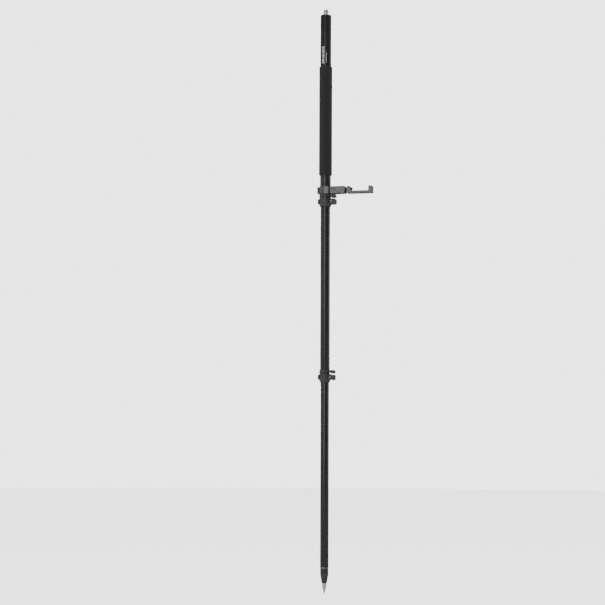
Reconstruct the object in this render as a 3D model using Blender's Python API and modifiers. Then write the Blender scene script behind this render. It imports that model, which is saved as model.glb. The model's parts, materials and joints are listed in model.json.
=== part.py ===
"""Telescopic prism pole: three tubes, two cam clamps, a foam grip and a folding device bracket.

Metres, +Z up.  The origin is the end of the steel point and the pole's axis is the Z axis.
The bracket's arm points along +X, and the pole's front faces -Y.
"""

import math

import bmesh
import bpy
from mathutils import Matrix, Vector

MM = 0.001

# Clearances
GAP = 0.3 * MM               # between faces that touch on the real object
SLIDE_GAP = 0.25 * MM        # each side of a nylon sleeve
HINGE_GAP = 0.4 * MM         # between knuckles and around cams

# Tubes
UPPER_RADIUS = 17.0 * MM
UPPER_WALL = 1.0 * MM
MIDDLE_RADIUS = 15.0 * MM
MIDDLE_WALL = 0.8 * MM
LOWER_RADIUS = 13.2 * MM
LOWER_WALL = 1.0 * MM
TUBE_OVERLAP = 19.5 * MM     # of an inner tube above its clamp, pulled out

# Lengths along the pole, from the point upwards
POINT_LENGTH = 34.5 * MM
HOLDER_LENGTH = 45.5 * MM
RING_THICKNESS = 2.0 * MM
LOWER_VISIBLE = 565.0 * MM
CLAMP_HEIGHT = 39.0 * MM
MIDDLE_VISIBLE = 507.5 * MM
BRACKET_GAP = 1.0 * MM
BRACKET_HEIGHT = 21.7 * MM
BRACKET_TO_GRIP = 36.8 * MM
GRIP_LENGTH = 343.5 * MM
GRIP_TO_SHOULDER = 164.5 * MM

# Point, top and grip
POINT_RADIUS = 6.8 * MM
POINT_STRAIGHT = 10.0 * MM
POINT_SHANK_RADIUS = 3.0 * MM
POINT_SHANK_LENGTH = 18.0 * MM
HOLDER_RADIUS = 12.6 * MM
HOLDER_STRAIGHT = 20.0 * MM
HOLDER_END_RADIUS = 7.6 * MM
HOLDER_SPIGOT = 25.0 * MM
RING_RADIUS = 13.6 * MM
FLAT_DEPTH = 3.0 * MM
FLAT_HEIGHT = 26.0 * MM
FLAT_DROP = 17.0 * MM         # of the flats' top below the holder's
FOAM_THICKNESS = 3.7 * MM
STUD_RADIUS = 7.9 * MM
STUD_HEIGHT = 17.5 * MM
STUD_ROOT = 18.0 * MM
STUD_COLLAR_RADIUS = 9.6 * MM
STUD_COLLAR_HEIGHT = 1.6 * MM
PLUG_FLANGE = 4.0 * MM
PLUG_SPIGOT = 18.0 * MM

# Clamps
CLAMP_WALL = 2.4 * MM
CLAMP_SEAT = 7.5 * MM        # from a clamp's bottom to the end of the tube that it holds
CLAMP_TAPER = 8.0 * MM
LINER_LENGTH = 32.0 * MM
LINER_FLANGE = 1.2 * MM
SLEEVE_LENGTH = 16.0 * MM
SLIT_TOP = 8.0 * MM
SLIT_HEIGHT = 4.0 * MM
SLIT_START = -5.0 * MM
SPLIT_WIDTH = 2.5 * MM
EAR_REACH = 15.3 * MM        # past the ring
UPPER_EAR_DEPTH = 7.5 * MM   # half of its size along Y
UPPER_EAR_HEIGHT = 11.2 * MM
LOWER_EAR_DEPTH = 11.0 * MM
LOWER_EAR_TOP = 13.4 * MM
LOWER_EAR_BOTTOM = 32.0 * MM
BOLT_OFFSET = 2.0 * MM       # of a bolt's axis past the ring
BOLT_RADIUS = 2.5 * MM
BOLT_DROP = 22.5 * MM
BOLT_PROUD = 1.4 * MM
NUT_FLATS = 8.0 * MM
NUT_HEIGHT = 4.0 * MM
WASHER_RADIUS = 5.2 * MM
WASHER_THICKNESS = 1.0 * MM
SPOT_RADIUS = 7.6 * MM
SPOT_DEPTH = 1.6 * MM
FIXING_DROP = 5.0 * MM
FIXING_RADIUS = 2.0 * MM
FIXING_HEAD_RADIUS = 3.5 * MM
FIXING_HEAD_HEIGHT = 4.0 * MM
FIXING_NUT_FLATS = 7.0 * MM
FIXING_NUT_HEIGHT = 3.2 * MM

# Cam levers
LEVER_THICKNESS = 4.2 * MM
LEVER_HEIGHT = 15.5 * MM
LEVER_TIP_ANGLE = 194.0
CAM_RADIUS = 6.2 * MM
CAM_THROW = 0.8 * MM
CAM_PIN_RADIUS = 2.0 * MM
EYE_RADIUS = 3.8 * MM
EYE_HEIGHT = 6.0 * MM

# Bracket body and jaw
BRACKET_WALL = 3.7 * MM
PANEL_PROUD = 1.2 * MM
PANEL_WIDTH = 13.5 * MM
BOSS_HALF_WIDTH = 12.7 * MM
BOSS_PAST_PIVOT = 5.0 * MM
KNUCKLE_RADIUS = 3.8 * MM
HINGE_OUT = 4.8 * MM         # of the hinge pin past the upper tube
HINGE_Y = -4.0 * MM
HINGE_PIN_RADIUS = 1.5 * MM
BODY_START_ANGLE = 191.0
JAW_START_ANGLE = 187.0
SPLIT_ANGLE = 61.0
LUG_ANGLE = 11.0
LUG_PROUD = 3.6 * MM
LATCH_RADIUS = 1.25 * MM
LATCH_HEAD_RADIUS = 2.5 * MM
LATCH_SEAT = 5.0 * MM
LATCH_REACH = 4.0 * MM
LATCH_HEAD_HEIGHT = 2.4 * MM

# Knob
KNOB_DROP = 2.0 * MM
KNOB_RADIUS = 11.3 * MM
KNOB_FLUTE = 0.9 * MM
KNOB_FLUTES = 10
KNOB_LENGTH = 16.0 * MM
KNOB_SOCKET = 10.0 * MM
SCREW_RADIUS = 3.0 * MM
PAD_RADIUS = 5.8 * MM
PAD_THICKNESS = 2.8 * MM

# Arm
PIVOT_OUT = 13.0 * MM        # of the arm's pivot past the upper tube
PIVOT_RISE = 13.0 * MM       # above the bracket's underside
ARM_BASE_RADIUS = 12.6 * MM
ARM_TOP = 9.5 * MM
ARM_LENGTH = 33.5 * MM
ARM_BLOCK = 8.5 * MM
ARM_HALF_WIDTH = 15.5 * MM
CHEEK_THICKNESS = 2.5 * MM
SCALLOP_RADIUS = 9.0 * MM
SCALLOP_DEPTH = 0.8 * MM
BUSH_FLANGE_RADIUS = 6.3 * MM
BUSH_FLANGE = 1.1 * MM
BUSH_RADIUS = 4.4 * MM
PIVOT_SCREW_RADIUS = 2.5 * MM
PIVOT_HEAD_RADIUS = 3.3 * MM
PIVOT_HEAD_HEIGHT = 0.9 * MM
PIVOT_SCREW_DEPTH = 6.4 * MM  # of a screw into the boss

# Cradle
NECK_LENGTH = 6.5 * MM
NECK_RADIUS = 9.2 * MM
NECK_DROP = 2.8 * MM
CRADLE_TOP = 8.9 * MM
INNER_JAW_LENGTH = 11.6 * MM
HOOK_REACH = 3.6 * MM
HOOK_TIP = 4.2 * MM
SHELF_THICKNESS = 6.7 * MM
SHELF_LENGTH = 68.0 * MM
OUTER_JAW_THICKNESS = 11.0 * MM
OUTER_JAW_LIP = 2.0 * MM
OUTER_JAW_TOE = 1.8 * MM
JAW_GROOVE = 0.9 * MM        # wide and deep, all round the jaw near its outer face
JAW_GROOVE_INSET = 2.6 * MM
ROD_RADIUS = 2.0 * MM
ROD_SPACING = 20.0 * MM
ROD_REACH = 41.0 * MM
ROD_SOCKET = 8.0 * MM
SPRING_RADIUS = 1.9 * MM
SPRING_LENGTH = 36.0 * MM
SPRING_DEPTH = 2.0 * MM
PAD_SHEET = 1.0 * MM
PAD_HALF_WIDTH = 12.0 * MM
CRADLE_SCREW_RADIUS = 2.5 * MM
CRADLE_HEAD_RADIUS = 4.4 * MM
CRADLE_HEAD_HEIGHT = 2.4 * MM
CRADLE_SCREW_REACH = 7.5 * MM

ROUND_STEPS = 32
SMALL_STEPS = 16

# Sizes and levels that follow from the ones above
GRIP_RADIUS = UPPER_RADIUS + FOAM_THICKNESS
HOLDER_TOP = POINT_LENGTH + HOLDER_LENGTH
RING_TOP = HOLDER_TOP + RING_THICKNESS
LOWER_CLAMP_BOTTOM = RING_TOP + LOWER_VISIBLE
LOWER_CLAMP_TOP = LOWER_CLAMP_BOTTOM + CLAMP_HEIGHT
UPPER_CLAMP_BOTTOM = LOWER_CLAMP_TOP + MIDDLE_VISIBLE
UPPER_CLAMP_TOP = UPPER_CLAMP_BOTTOM + CLAMP_HEIGHT
BRACKET_BOTTOM = UPPER_CLAMP_TOP + BRACKET_GAP
BRACKET_TOP = BRACKET_BOTTOM + BRACKET_HEIGHT
GRIP_BOTTOM = BRACKET_TOP + BRACKET_TO_GRIP
GRIP_TOP = GRIP_BOTTOM + GRIP_LENGTH
SHOULDER = GRIP_TOP + GRIP_TO_SHOULDER
HINGE_X = -(UPPER_RADIUS + HINGE_OUT)
PIVOT_X = UPPER_RADIUS + PIVOT_OUT
PIVOT_Z = BRACKET_BOTTOM + PIVOT_RISE
KNOB_Z = PIVOT_Z - KNOB_DROP


# ---------------------------------------------------------------- scene and materials

def clear_scene():
    for obj in list(bpy.data.objects):
        bpy.data.objects.remove(obj, do_unlink=True)


def new_collection(name):
    collection = bpy.data.collections.new(name)
    bpy.context.scene.collection.children.link(collection)
    return collection


def material(name, color, roughness, metallic):
    mat = bpy.data.materials.new(name)
    mat.use_nodes = True
    shader = mat.node_tree.nodes["Principled BSDF"]
    shader.inputs["Base Color"].default_value = (*color, 1.0)
    shader.inputs["Roughness"].default_value = roughness
    shader.inputs["Metallic"].default_value = metallic
    return mat


FINISHES = {
    "carbon": ((0.020, 0.021, 0.023), 0.38, 0.0),
    "foam": ((0.012, 0.012, 0.013), 0.90, 0.0),
    "clamp_plastic": ((0.045, 0.046, 0.049), 0.50, 0.0),
    "nylon": ((0.030, 0.030, 0.032), 0.60, 0.0),
    "anodised": ((0.110, 0.112, 0.118), 0.42, 0.8),
    "black_anodised": ((0.020, 0.020, 0.022), 0.40, 0.6),
    "steel": ((0.560, 0.560, 0.570), 0.25, 1.0),
    "black_steel": ((0.090, 0.090, 0.095), 0.38, 0.9),
    "rubber": ((0.010, 0.010, 0.010), 0.85, 0.0),
}


# ---------------------------------------------------------------- shape tools

def link(name, mesh, finish, collection):
    obj = bpy.data.objects.new(name, mesh)
    collection.objects.link(obj)
    if finish:
        obj.data.materials.append(material(name + "_finish", *FINISHES[finish]))
    return obj


def mark_round(mesh):
    mesh.shade_smooth()
    mesh.set_sharp_from_angle(angle=math.radians(35))


def cutter(obj):
    """Turn a part into a hidden helper of a Boolean."""
    for collection in list(obj.users_collection):
        collection.objects.unlink(obj)
    CUTTERS.objects.link(obj)
    obj.hide_render = True
    obj.display_type = "WIRE"
    return obj


def combine(obj, other, operation):
    step = obj.modifiers.new(operation.lower(), "BOOLEAN")
    step.operation = operation
    # the stacked cuts of the clamps and the fork meet along shared faces, which EXACT leaves open
    step.solver = "MANIFOLD" if "_clamp_" in obj.name or obj.name == "arm_fork" else "EXACT"
    step.object = cutter(other)
    return obj


def cut(obj, other):
    return combine(obj, other, "DIFFERENCE")


def join(obj, other):
    return combine(obj, other, "UNION")


def turned(name, profile, finish, steps=ROUND_STEPS, collection=None):
    """Turn an (r, z) profile about Z.  It runs down the outer side, top to bottom.

    A profile whose ends are not on the axis is closed, and makes a ring.
    """
    ring = profile[0][0] > 0.0
    bm = bmesh.new()
    verts = [bm.verts.new((r, 0.0, z)) for r, z in profile]
    count = len(verts)
    for i in range(count if ring else count - 1):
        bm.edges.new((verts[i], verts[(i + 1) % count]))
    mesh = bpy.data.meshes.new(name)
    bm.to_mesh(mesh)
    bm.free()
    obj = link(name, mesh, finish, collection or PARTS)
    screw = obj.modifiers.new("turn", "SCREW")
    screw.axis = "Z"
    screw.steps = steps
    screw.render_steps = steps
    screw.use_merge_vertices = True
    screw.merge_threshold = 0.00001
    screw.use_smooth_shade = True
    return obj


def ring_profile(outer, inner, top, bottom, chamfer=0.0):
    return [
        (inner, top), (outer - chamfer, top), (outer, top - chamfer),
        (outer, bottom + chamfer), (outer - chamfer, bottom), (inner, bottom),
    ] if chamfer else [(inner, top), (outer, top), (outer, bottom), (inner, bottom)]


def rod(name, start, end, radius, finish, steps=SMALL_STEPS):
    """A plain cylinder, or a hexagon with six steps, between two points."""
    start = Vector(start)
    end = Vector(end)
    length = (end - start).length
    bm = bmesh.new()
    bmesh.ops.create_cone(bm, cap_ends=True, segments=steps, radius1=radius, radius2=radius, depth=length)
    turn = (end - start).to_track_quat("Z", "Y").to_matrix().to_4x4()
    bmesh.ops.transform(bm, matrix=turn, verts=bm.verts)
    mesh = bpy.data.meshes.new(name)
    bm.to_mesh(mesh)
    bm.free()
    mark_round(mesh)
    obj = link(name, mesh, finish, PARTS)
    obj.location = (start + end) / 2
    return obj


def box(name, low, high, finish):
    low = Vector(low)
    high = Vector(high)
    bm = bmesh.new()
    bmesh.ops.create_cube(bm, size=1.0)
    size = high - low
    bmesh.ops.scale(bm, vec=size, verts=bm.verts)
    mesh = bpy.data.meshes.new(name)
    bm.to_mesh(mesh)
    bm.free()
    obj = link(name, mesh, finish, PARTS)
    obj.location = (low + high) / 2
    return obj


def bevel(obj, width, segments=1, angle=40):
    step = obj.modifiers.new("edges", "BEVEL")
    step.width = width
    step.segments = segments
    step.limit_method = "ANGLE"
    step.angle_limit = math.radians(angle)
    return obj


def arc(center, radius, start, end, steps):
    """Points on an arc; the angles are in degrees."""
    points = []
    for i in range(steps + 1):
        angle = math.radians(start + (end - start) * i / steps)
        points.append((center[0] + radius * math.cos(angle), center[1] + radius * math.sin(angle)))
    return points


def rounded(corners, steps=3):
    """Round the corners of an outline given as (x, y, radius)."""
    points = []
    count = len(corners)
    for i, (x, y, radius) in enumerate(corners):
        here = Vector((x, y))
        if radius <= 0.0:
            points.append((x, y))
            continue
        before = (Vector(corners[i - 1][:2]) - here).normalized()
        after = (Vector(corners[(i + 1) % count][:2]) - here).normalized()
        half = before.angle(after) / 2
        center = here + (before + after).normalized() * radius / math.sin(half)
        first = here + before * radius / math.tan(half) - center
        last = here + after * radius / math.tan(half) - center
        sweep = first.angle_signed(last)
        for j in range(steps + 1):
            angle = -sweep * j / steps
            cos, sin = math.cos(angle), math.sin(angle)
            turned_arm = Vector((first.x * cos - first.y * sin, first.x * sin + first.y * cos))
            points.append(tuple(center + turned_arm))
    return points


def plate(name, outline, low, high, axis, finish):
    """Extrude a flat outline along an axis between two levels.

    The outline's two numbers are (x, y) along Z, and (x, z) along Y.
    """
    curve = bpy.data.curves.new(name, "CURVE")
    curve.dimensions = "2D"
    curve.fill_mode = "BOTH"
    curve.extrude = (high - low) / 2
    spline = curve.splines.new("POLY")
    spline.points.add(len(outline) - 1)
    for point, (u, v) in zip(spline.points, outline):
        point.co = (u, v, 0.0, 1.0)
    spline.use_cyclic_u = True
    guide = bpy.data.objects.new(name + "_outline", curve)
    PARTS.objects.link(guide)
    bpy.context.view_layer.update()
    depsgraph = bpy.context.evaluated_depsgraph_get()
    mesh = bpy.data.meshes.new_from_object(guide.evaluated_get(depsgraph))
    bpy.data.objects.remove(guide, do_unlink=True)
    bpy.data.curves.remove(curve)
    bm = bmesh.new()
    bm.from_mesh(mesh)
    bmesh.ops.remove_doubles(bm, verts=bm.verts, dist=0.000005)
    stand = Matrix.Identity(4)
    if axis == "Y":
        stand = Matrix.Rotation(math.radians(90), 4, "X")
    bmesh.ops.transform(bm, matrix=stand, verts=bm.verts)
    bmesh.ops.recalc_face_normals(bm, faces=bm.faces)
    bm.to_mesh(mesh)
    bm.free()
    mesh.name = name
    mesh.materials.clear()
    mark_round(mesh)
    obj = link(name, mesh, finish, PARTS)
    middle = (low + high) / 2
    obj.location = (0.0, middle, 0.0) if axis == "Y" else (0.0, 0.0, middle)
    return obj


def place_group(make, level):
    """Run a function that makes parts about level 0, and raise them and their cutters."""
    before = set(bpy.data.objects)
    made = make()
    for obj in set(bpy.data.objects) - before:
        obj.location.z += level
    return made


def along_y(obj, place):
    """Lay a turned part along Y, its top towards -Y, at an (x, z) place."""
    obj.rotation_euler = (math.radians(90), 0.0, 0.0)
    obj.location = (place[0], 0.0, place[1])
    return obj


def body_empty(name, location):
    empty = bpy.data.objects.new(name, None)
    empty.location = location
    PARTS.objects.link(empty)
    bpy.context.view_layer.update()
    return empty


def carry(empty, *objects):
    """Parent parts to an empty and keep them where they are."""
    for obj in objects:
        obj.parent = empty
        obj.matrix_parent_inverse = empty.matrix_world.inverted()


# ---------------------------------------------------------------- tubes and their ends

def tube(name, radius, wall, top, bottom):
    return turned(name, ring_profile(radius, radius - wall, top, bottom), "carbon")


def guide_sleeve(name, radius, bore, top):
    """Nylon sleeve glued round the top of an inner tube; it stops on the clamp's liner."""
    profile = ring_profile(bore - SLIDE_GAP, radius + SLIDE_GAP, top, top - SLEEVE_LENGTH)
    return turned(name, profile, "nylon")


def make_point():
    point = turned("steel_tip", [
        (0.0, POINT_LENGTH + POINT_SHANK_LENGTH),
        (POINT_SHANK_RADIUS, POINT_LENGTH + POINT_SHANK_LENGTH),
        (POINT_SHANK_RADIUS, POINT_LENGTH),
        (POINT_RADIUS, POINT_LENGTH),
        (POINT_RADIUS, POINT_LENGTH - POINT_STRAIGHT),
        (POINT_RADIUS * 0.12, POINT_RADIUS * 0.1),
        (0.0, 0.0),
    ], "steel")
    bore = POINT_SHANK_RADIUS + GAP
    spigot = LOWER_RADIUS - LOWER_WALL - SLIDE_GAP
    shoulder = POINT_LENGTH + GAP
    holder_top = HOLDER_TOP
    holder = turned("point_holder", [
        (0.0, holder_top + HOLDER_SPIGOT),
        (spigot, holder_top + HOLDER_SPIGOT),
        (spigot, holder_top),
        (HOLDER_RADIUS, holder_top),
        (HOLDER_RADIUS, holder_top - HOLDER_STRAIGHT),
        (HOLDER_END_RADIUS + 0.6 * MM, shoulder + 0.8 * MM),
        (HOLDER_END_RADIUS, shoulder),
        (bore, shoulder),
        (bore, shoulder + POINT_SHANK_LENGTH),
        (0.0, shoulder + POINT_SHANK_LENGTH),
    ], "black_anodised")
    flat_top = holder_top - FLAT_DROP
    for side in (-1.0, 1.0):
        face = HOLDER_RADIUS - FLAT_DEPTH
        spread = HOLDER_RADIUS * 2
        low = (-spread, min(side * face, side * spread), flat_top - FLAT_HEIGHT)
        high = (spread, max(side * face, side * spread), flat_top)
        cut(holder, box("flat_cutter", low, high, None))
    ring = turned("point_ring", ring_profile(
        RING_RADIUS, spigot + GAP, RING_TOP - GAP, holder_top + GAP, 0.4 * MM), "steel")
    return [point, holder, ring]


def make_top():
    spigot = UPPER_RADIUS - UPPER_WALL - SLIDE_GAP
    plug_bottom = SHOULDER - PLUG_FLANGE - PLUG_SPIGOT
    root = STUD_RADIUS + GAP
    plug = turned("top_plug", [
        (root, SHOULDER), (UPPER_RADIUS - 0.9 * MM, SHOULDER), (UPPER_RADIUS, SHOULDER - 0.9 * MM),
        (UPPER_RADIUS, SHOULDER - PLUG_FLANGE), (spigot, SHOULDER - PLUG_FLANGE),
        (spigot, plug_bottom), (root, plug_bottom),
    ], "black_anodised")
    stud_top = SHOULDER + STUD_HEIGHT
    stud = turned("antenna_stud", [
        (0.0, stud_top), (STUD_RADIUS - 1.0 * MM, stud_top), (STUD_RADIUS, stud_top - 1.0 * MM),
        (STUD_RADIUS, SHOULDER + GAP + STUD_COLLAR_HEIGHT),
        (STUD_COLLAR_RADIUS, SHOULDER + GAP + STUD_COLLAR_HEIGHT),
        (STUD_COLLAR_RADIUS, SHOULDER + GAP), (STUD_RADIUS, SHOULDER + GAP),
        (STUD_RADIUS, SHOULDER - STUD_ROOT), (0.0, SHOULDER - STUD_ROOT),
    ], "steel")
    grip = turned("foam_grip", ring_profile(
        GRIP_RADIUS, UPPER_RADIUS + GAP, GRIP_TOP, GRIP_BOTTOM, 1.2 * MM), "foam")
    return [plug, stud, grip]


# ---------------------------------------------------------------- clamps

def clamp(prefix, tube_radius, tube_wall, slide_radius):
    """Clamp collar with its liner, fixing screw, tie bolt and nuts, and the cam's place.

    It is made with its top at level 0, and raised by place_group.
    """
    top = 0.0
    bottom = top - CLAMP_HEIGHT
    ring = tube_radius + CLAMP_WALL
    bore = tube_radius + GAP
    lip = slide_radius + GAP
    tube_end = bottom + CLAMP_SEAT
    flange_bottom = tube_end - GAP - LINER_FLANGE
    seat = flange_bottom - GAP
    collar = turned(prefix + "_clamp_collar", [
        (0.0, top), (ring - 0.7 * MM, top), (ring, top - 0.7 * MM),
        (ring, bottom + CLAMP_TAPER), (lip + 1.6 * MM, bottom), (0.0, bottom),
    ], "clamp_plastic")
    reach = ring + EAR_REACH
    root = (ring + bore) / 2 - 4.0 * MM
    bolt_x = ring + BOLT_OFFSET
    bolt_z = top - BOLT_DROP
    fixing_z = top - FIXING_DROP
    upper_ear = plate(prefix + "_upper_ear", rounded([
        (root, top - 0.4 * MM, 0.0), (reach, top - 0.4 * MM, 4.0 * MM),
        (reach, top - UPPER_EAR_HEIGHT, 4.0 * MM), (ring + 1.4 * MM, top - UPPER_EAR_HEIGHT, 1.0 * MM),
        (ring + 1.2 * MM, top - SLIT_TOP + 0.2 * MM, 0.0), (root, top - SLIT_TOP + 0.2 * MM, 0.0),
    ]), -UPPER_EAR_DEPTH, UPPER_EAR_DEPTH, "Y", None)
    bevel(upper_ear, 1.2 * MM, 1, 60)
    lower_ear = plate(prefix + "_lower_ear", rounded([
        (root, top - LOWER_EAR_TOP, 0.0), (reach, top - LOWER_EAR_TOP - 2.0 * MM, 2.5 * MM),
        (reach, top - LOWER_EAR_BOTTOM, 3.0 * MM), (reach - 5.0 * MM, top - LOWER_EAR_BOTTOM, 1.5 * MM),
        (ring + 1.0 * MM, top - LOWER_EAR_BOTTOM + 0.7 * MM, 0.0), (root, bottom + CLAMP_TAPER, 0.0),
    ]), -LOWER_EAR_DEPTH, LOWER_EAR_DEPTH, "Y", None)
    bevel(lower_ear, 0.8 * MM, 1, 60)
    join(collar, upper_ear)
    join(collar, lower_ear)
    cut(collar, turned("bore_cutter", [
        (0.0, top + 1.0 * MM), (bore, top + 1.0 * MM), (bore, seat), (lip, seat),
        (lip, bottom - 1.0 * MM), (0.0, bottom - 1.0 * MM),
    ], None))
    opening = math.degrees(math.acos(SLIT_START / (ring + 0.8 * MM)))
    slit = arc((0.0, 0.0), ring + 0.8 * MM, -opening, opening, 20)
    cut(collar, plate("slit_cutter", slit, top - SLIT_TOP - SLIT_HEIGHT, top - SLIT_TOP, "Z", None))
    half_split = SPLIT_WIDTH / 2
    cut(collar, box("split_cutter", (0, -half_split, bottom - 1.0 * MM),
                    (reach * 2, half_split, top + 1.0 * MM), None))
    front = -LOWER_EAR_DEPTH + SPOT_DEPTH
    far = 2 * ring
    tie_hole = BOLT_RADIUS + GAP
    cut(collar, along_y(turned("tie_cutter", [
        (0.0, far), (SPOT_RADIUS, far), (SPOT_RADIUS, -front), (tie_hole, -front),
        (tie_hole, -far), (0.0, -far),
    ], None, 20), (bolt_x, bolt_z)))
    fixing_hole = FIXING_RADIUS + GAP
    head_hole = FIXING_HEAD_RADIUS + 2 * GAP
    head_floor = UPPER_EAR_DEPTH - 0.2 * MM
    cut(collar, along_y(turned("fixing_cutter", [
        (0.0, far), (head_hole, far), (head_hole, head_floor), (fixing_hole, head_floor),
        (fixing_hole, -head_floor), (head_hole, -head_floor), (head_hole, -far), (0.0, -far),
    ], None, 16), (bolt_x, fixing_z)))

    sleeve_outer = tube_radius - tube_wall - SLIDE_GAP
    liner_top = flange_bottom + LINER_LENGTH
    liner = turned(prefix + "_clamp_liner", [
        (slide_radius + SLIDE_GAP, liner_top), (sleeve_outer, liner_top),
        (sleeve_outer, tube_end - GAP), (tube_radius, tube_end - GAP),
        (tube_radius, flange_bottom), (slide_radius + SLIDE_GAP, flange_bottom),
    ], "nylon")

    face = head_floor + GAP
    head_end = face + FIXING_HEAD_HEIGHT
    screw_end = face + FIXING_NUT_HEIGHT + 0.8 * MM
    screw = turned(prefix + "_fixing_screw", [
        (0.0, head_end - 2.2 * MM), (1.5 * MM, head_end - 2.2 * MM), (1.5 * MM, head_end),
        (FIXING_HEAD_RADIUS - 0.4 * MM, head_end), (FIXING_HEAD_RADIUS, head_end - 0.4 * MM),
        (FIXING_HEAD_RADIUS, face), (FIXING_RADIUS, face),
        (FIXING_RADIUS, -screw_end), (0.0, -screw_end),
    ], "black_steel", SMALL_STEPS)
    along_y(screw, (bolt_x, fixing_z))
    nut = rod(prefix + "_fixing_nut", (bolt_x, face, fixing_z),
              (bolt_x, face + FIXING_NUT_HEIGHT, fixing_z), FIXING_NUT_FLATS / math.sqrt(3), "black_steel", 6)
    cut(nut, rod("nut_cutter", (bolt_x, 0, fixing_z), (bolt_x, 2 * ring, fixing_z),
                 FIXING_RADIUS + GAP, None))

    washer_face = front - GAP
    nut_face = washer_face - WASHER_THICKNESS - GAP
    nut_end = nut_face - NUT_HEIGHT
    cam_y = LOWER_EAR_DEPTH + GAP + CAM_RADIUS + CAM_THROW
    bolt = rod(prefix + "_tie_bolt", (bolt_x, nut_end - BOLT_PROUD, bolt_z),
               (bolt_x, cam_y, bolt_z), BOLT_RADIUS, "black_steel")
    join(bolt, rod("eye_joiner", (bolt_x, cam_y, bolt_z - EYE_HEIGHT / 2),
                   (bolt_x, cam_y, bolt_z + EYE_HEIGHT / 2), EYE_RADIUS, None))
    cut(bolt, rod("eye_cutter", (bolt_x, cam_y, bolt_z - EYE_HEIGHT),
                  (bolt_x, cam_y, bolt_z + EYE_HEIGHT), CAM_PIN_RADIUS + GAP, None))
    washer = rod(prefix + "_tie_washer", (bolt_x, washer_face - WASHER_THICKNESS, bolt_z),
                 (bolt_x, washer_face, bolt_z), WASHER_RADIUS, "black_steel")
    tie_nut = rod(prefix + "_tie_nut", (bolt_x, nut_end, bolt_z), (bolt_x, nut_face, bolt_z),
                  NUT_FLATS / math.sqrt(3), "black_steel", 6)
    for piece in (washer, tie_nut):
        cut(piece, rod("nut_cutter", (bolt_x, -2 * ring, bolt_z), (bolt_x, 0, bolt_z),
                       BOLT_RADIUS + GAP, None))
    return [collar, liner, screw, nut, bolt, washer, tie_nut], (bolt_x, cam_y, bolt_z), ring


def cam_lever(prefix, pivot, ring):
    """Lever that wraps round the back of the clamp, with the cam round its pin."""
    px, py, pz = pivot
    inner = ring + HINGE_GAP
    outer = inner + LEVER_THICKNESS
    middle = (inner + outer) / 2
    half = LEVER_THICKNESS / 2
    tip = math.radians(LEVER_TIP_ANGLE)
    tip_center = (middle * math.cos(tip), middle * math.sin(tip))
    cam_center = (px, py - CAM_THROW)
    outline = arc((0.0, 0.0), inner, 62.0, LEVER_TIP_ANGLE, 16)
    outline += arc(tip_center, half, LEVER_TIP_ANGLE + 180.0, LEVER_TIP_ANGLE + 360.0, 6)[1:-1]
    outline += arc((0.0, 0.0), outer, LEVER_TIP_ANGLE, 84.0, 15)
    outline += arc(cam_center, CAM_RADIUS, 98.0, -155.0, 16)
    low = pz - LEVER_HEIGHT / 2
    high = pz + LEVER_HEIGHT / 2
    lever = bevel(plate(prefix + "_clamp_lever", outline, low, high, "Z", "clamp_plastic"), 0.9 * MM, 1, 60)
    slot = EYE_HEIGHT / 2 + HINGE_GAP
    wide = CAM_RADIUS * 2
    eye_hole = EYE_RADIUS + HINGE_GAP
    shank_side = BOLT_RADIUS + HINGE_GAP
    spread = math.degrees(math.acos(shank_side / eye_hole))
    slot_plan = arc((px, py), eye_hole, 180.0 - spread, 180.0 + spread, 8)
    slot_plan += [(px - shank_side, py - wide), (px + wide, py - wide)]
    slot_plan += [(px + wide, py + wide), (px - shank_side, py + wide)]
    cut(lever, plate("slot_cutter", slot_plan, pz - slot, pz + slot, "Z", None))
    cut(lever, rod("pin_cutter", (px, py, low - 1.0 * MM), (px, py, high + 1.0 * MM),
                   CAM_PIN_RADIUS + GAP, None))
    pin = rod(prefix + "_cam_pin", (px, py, low + 0.4 * MM), (px, py, high - 0.4 * MM),
              CAM_PIN_RADIUS, "steel")
    return [lever, pin]


# ---------------------------------------------------------------- bracket

def on_ring(radius, angle):
    return (radius * math.cos(math.radians(angle)), radius * math.sin(math.radians(angle)))


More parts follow.
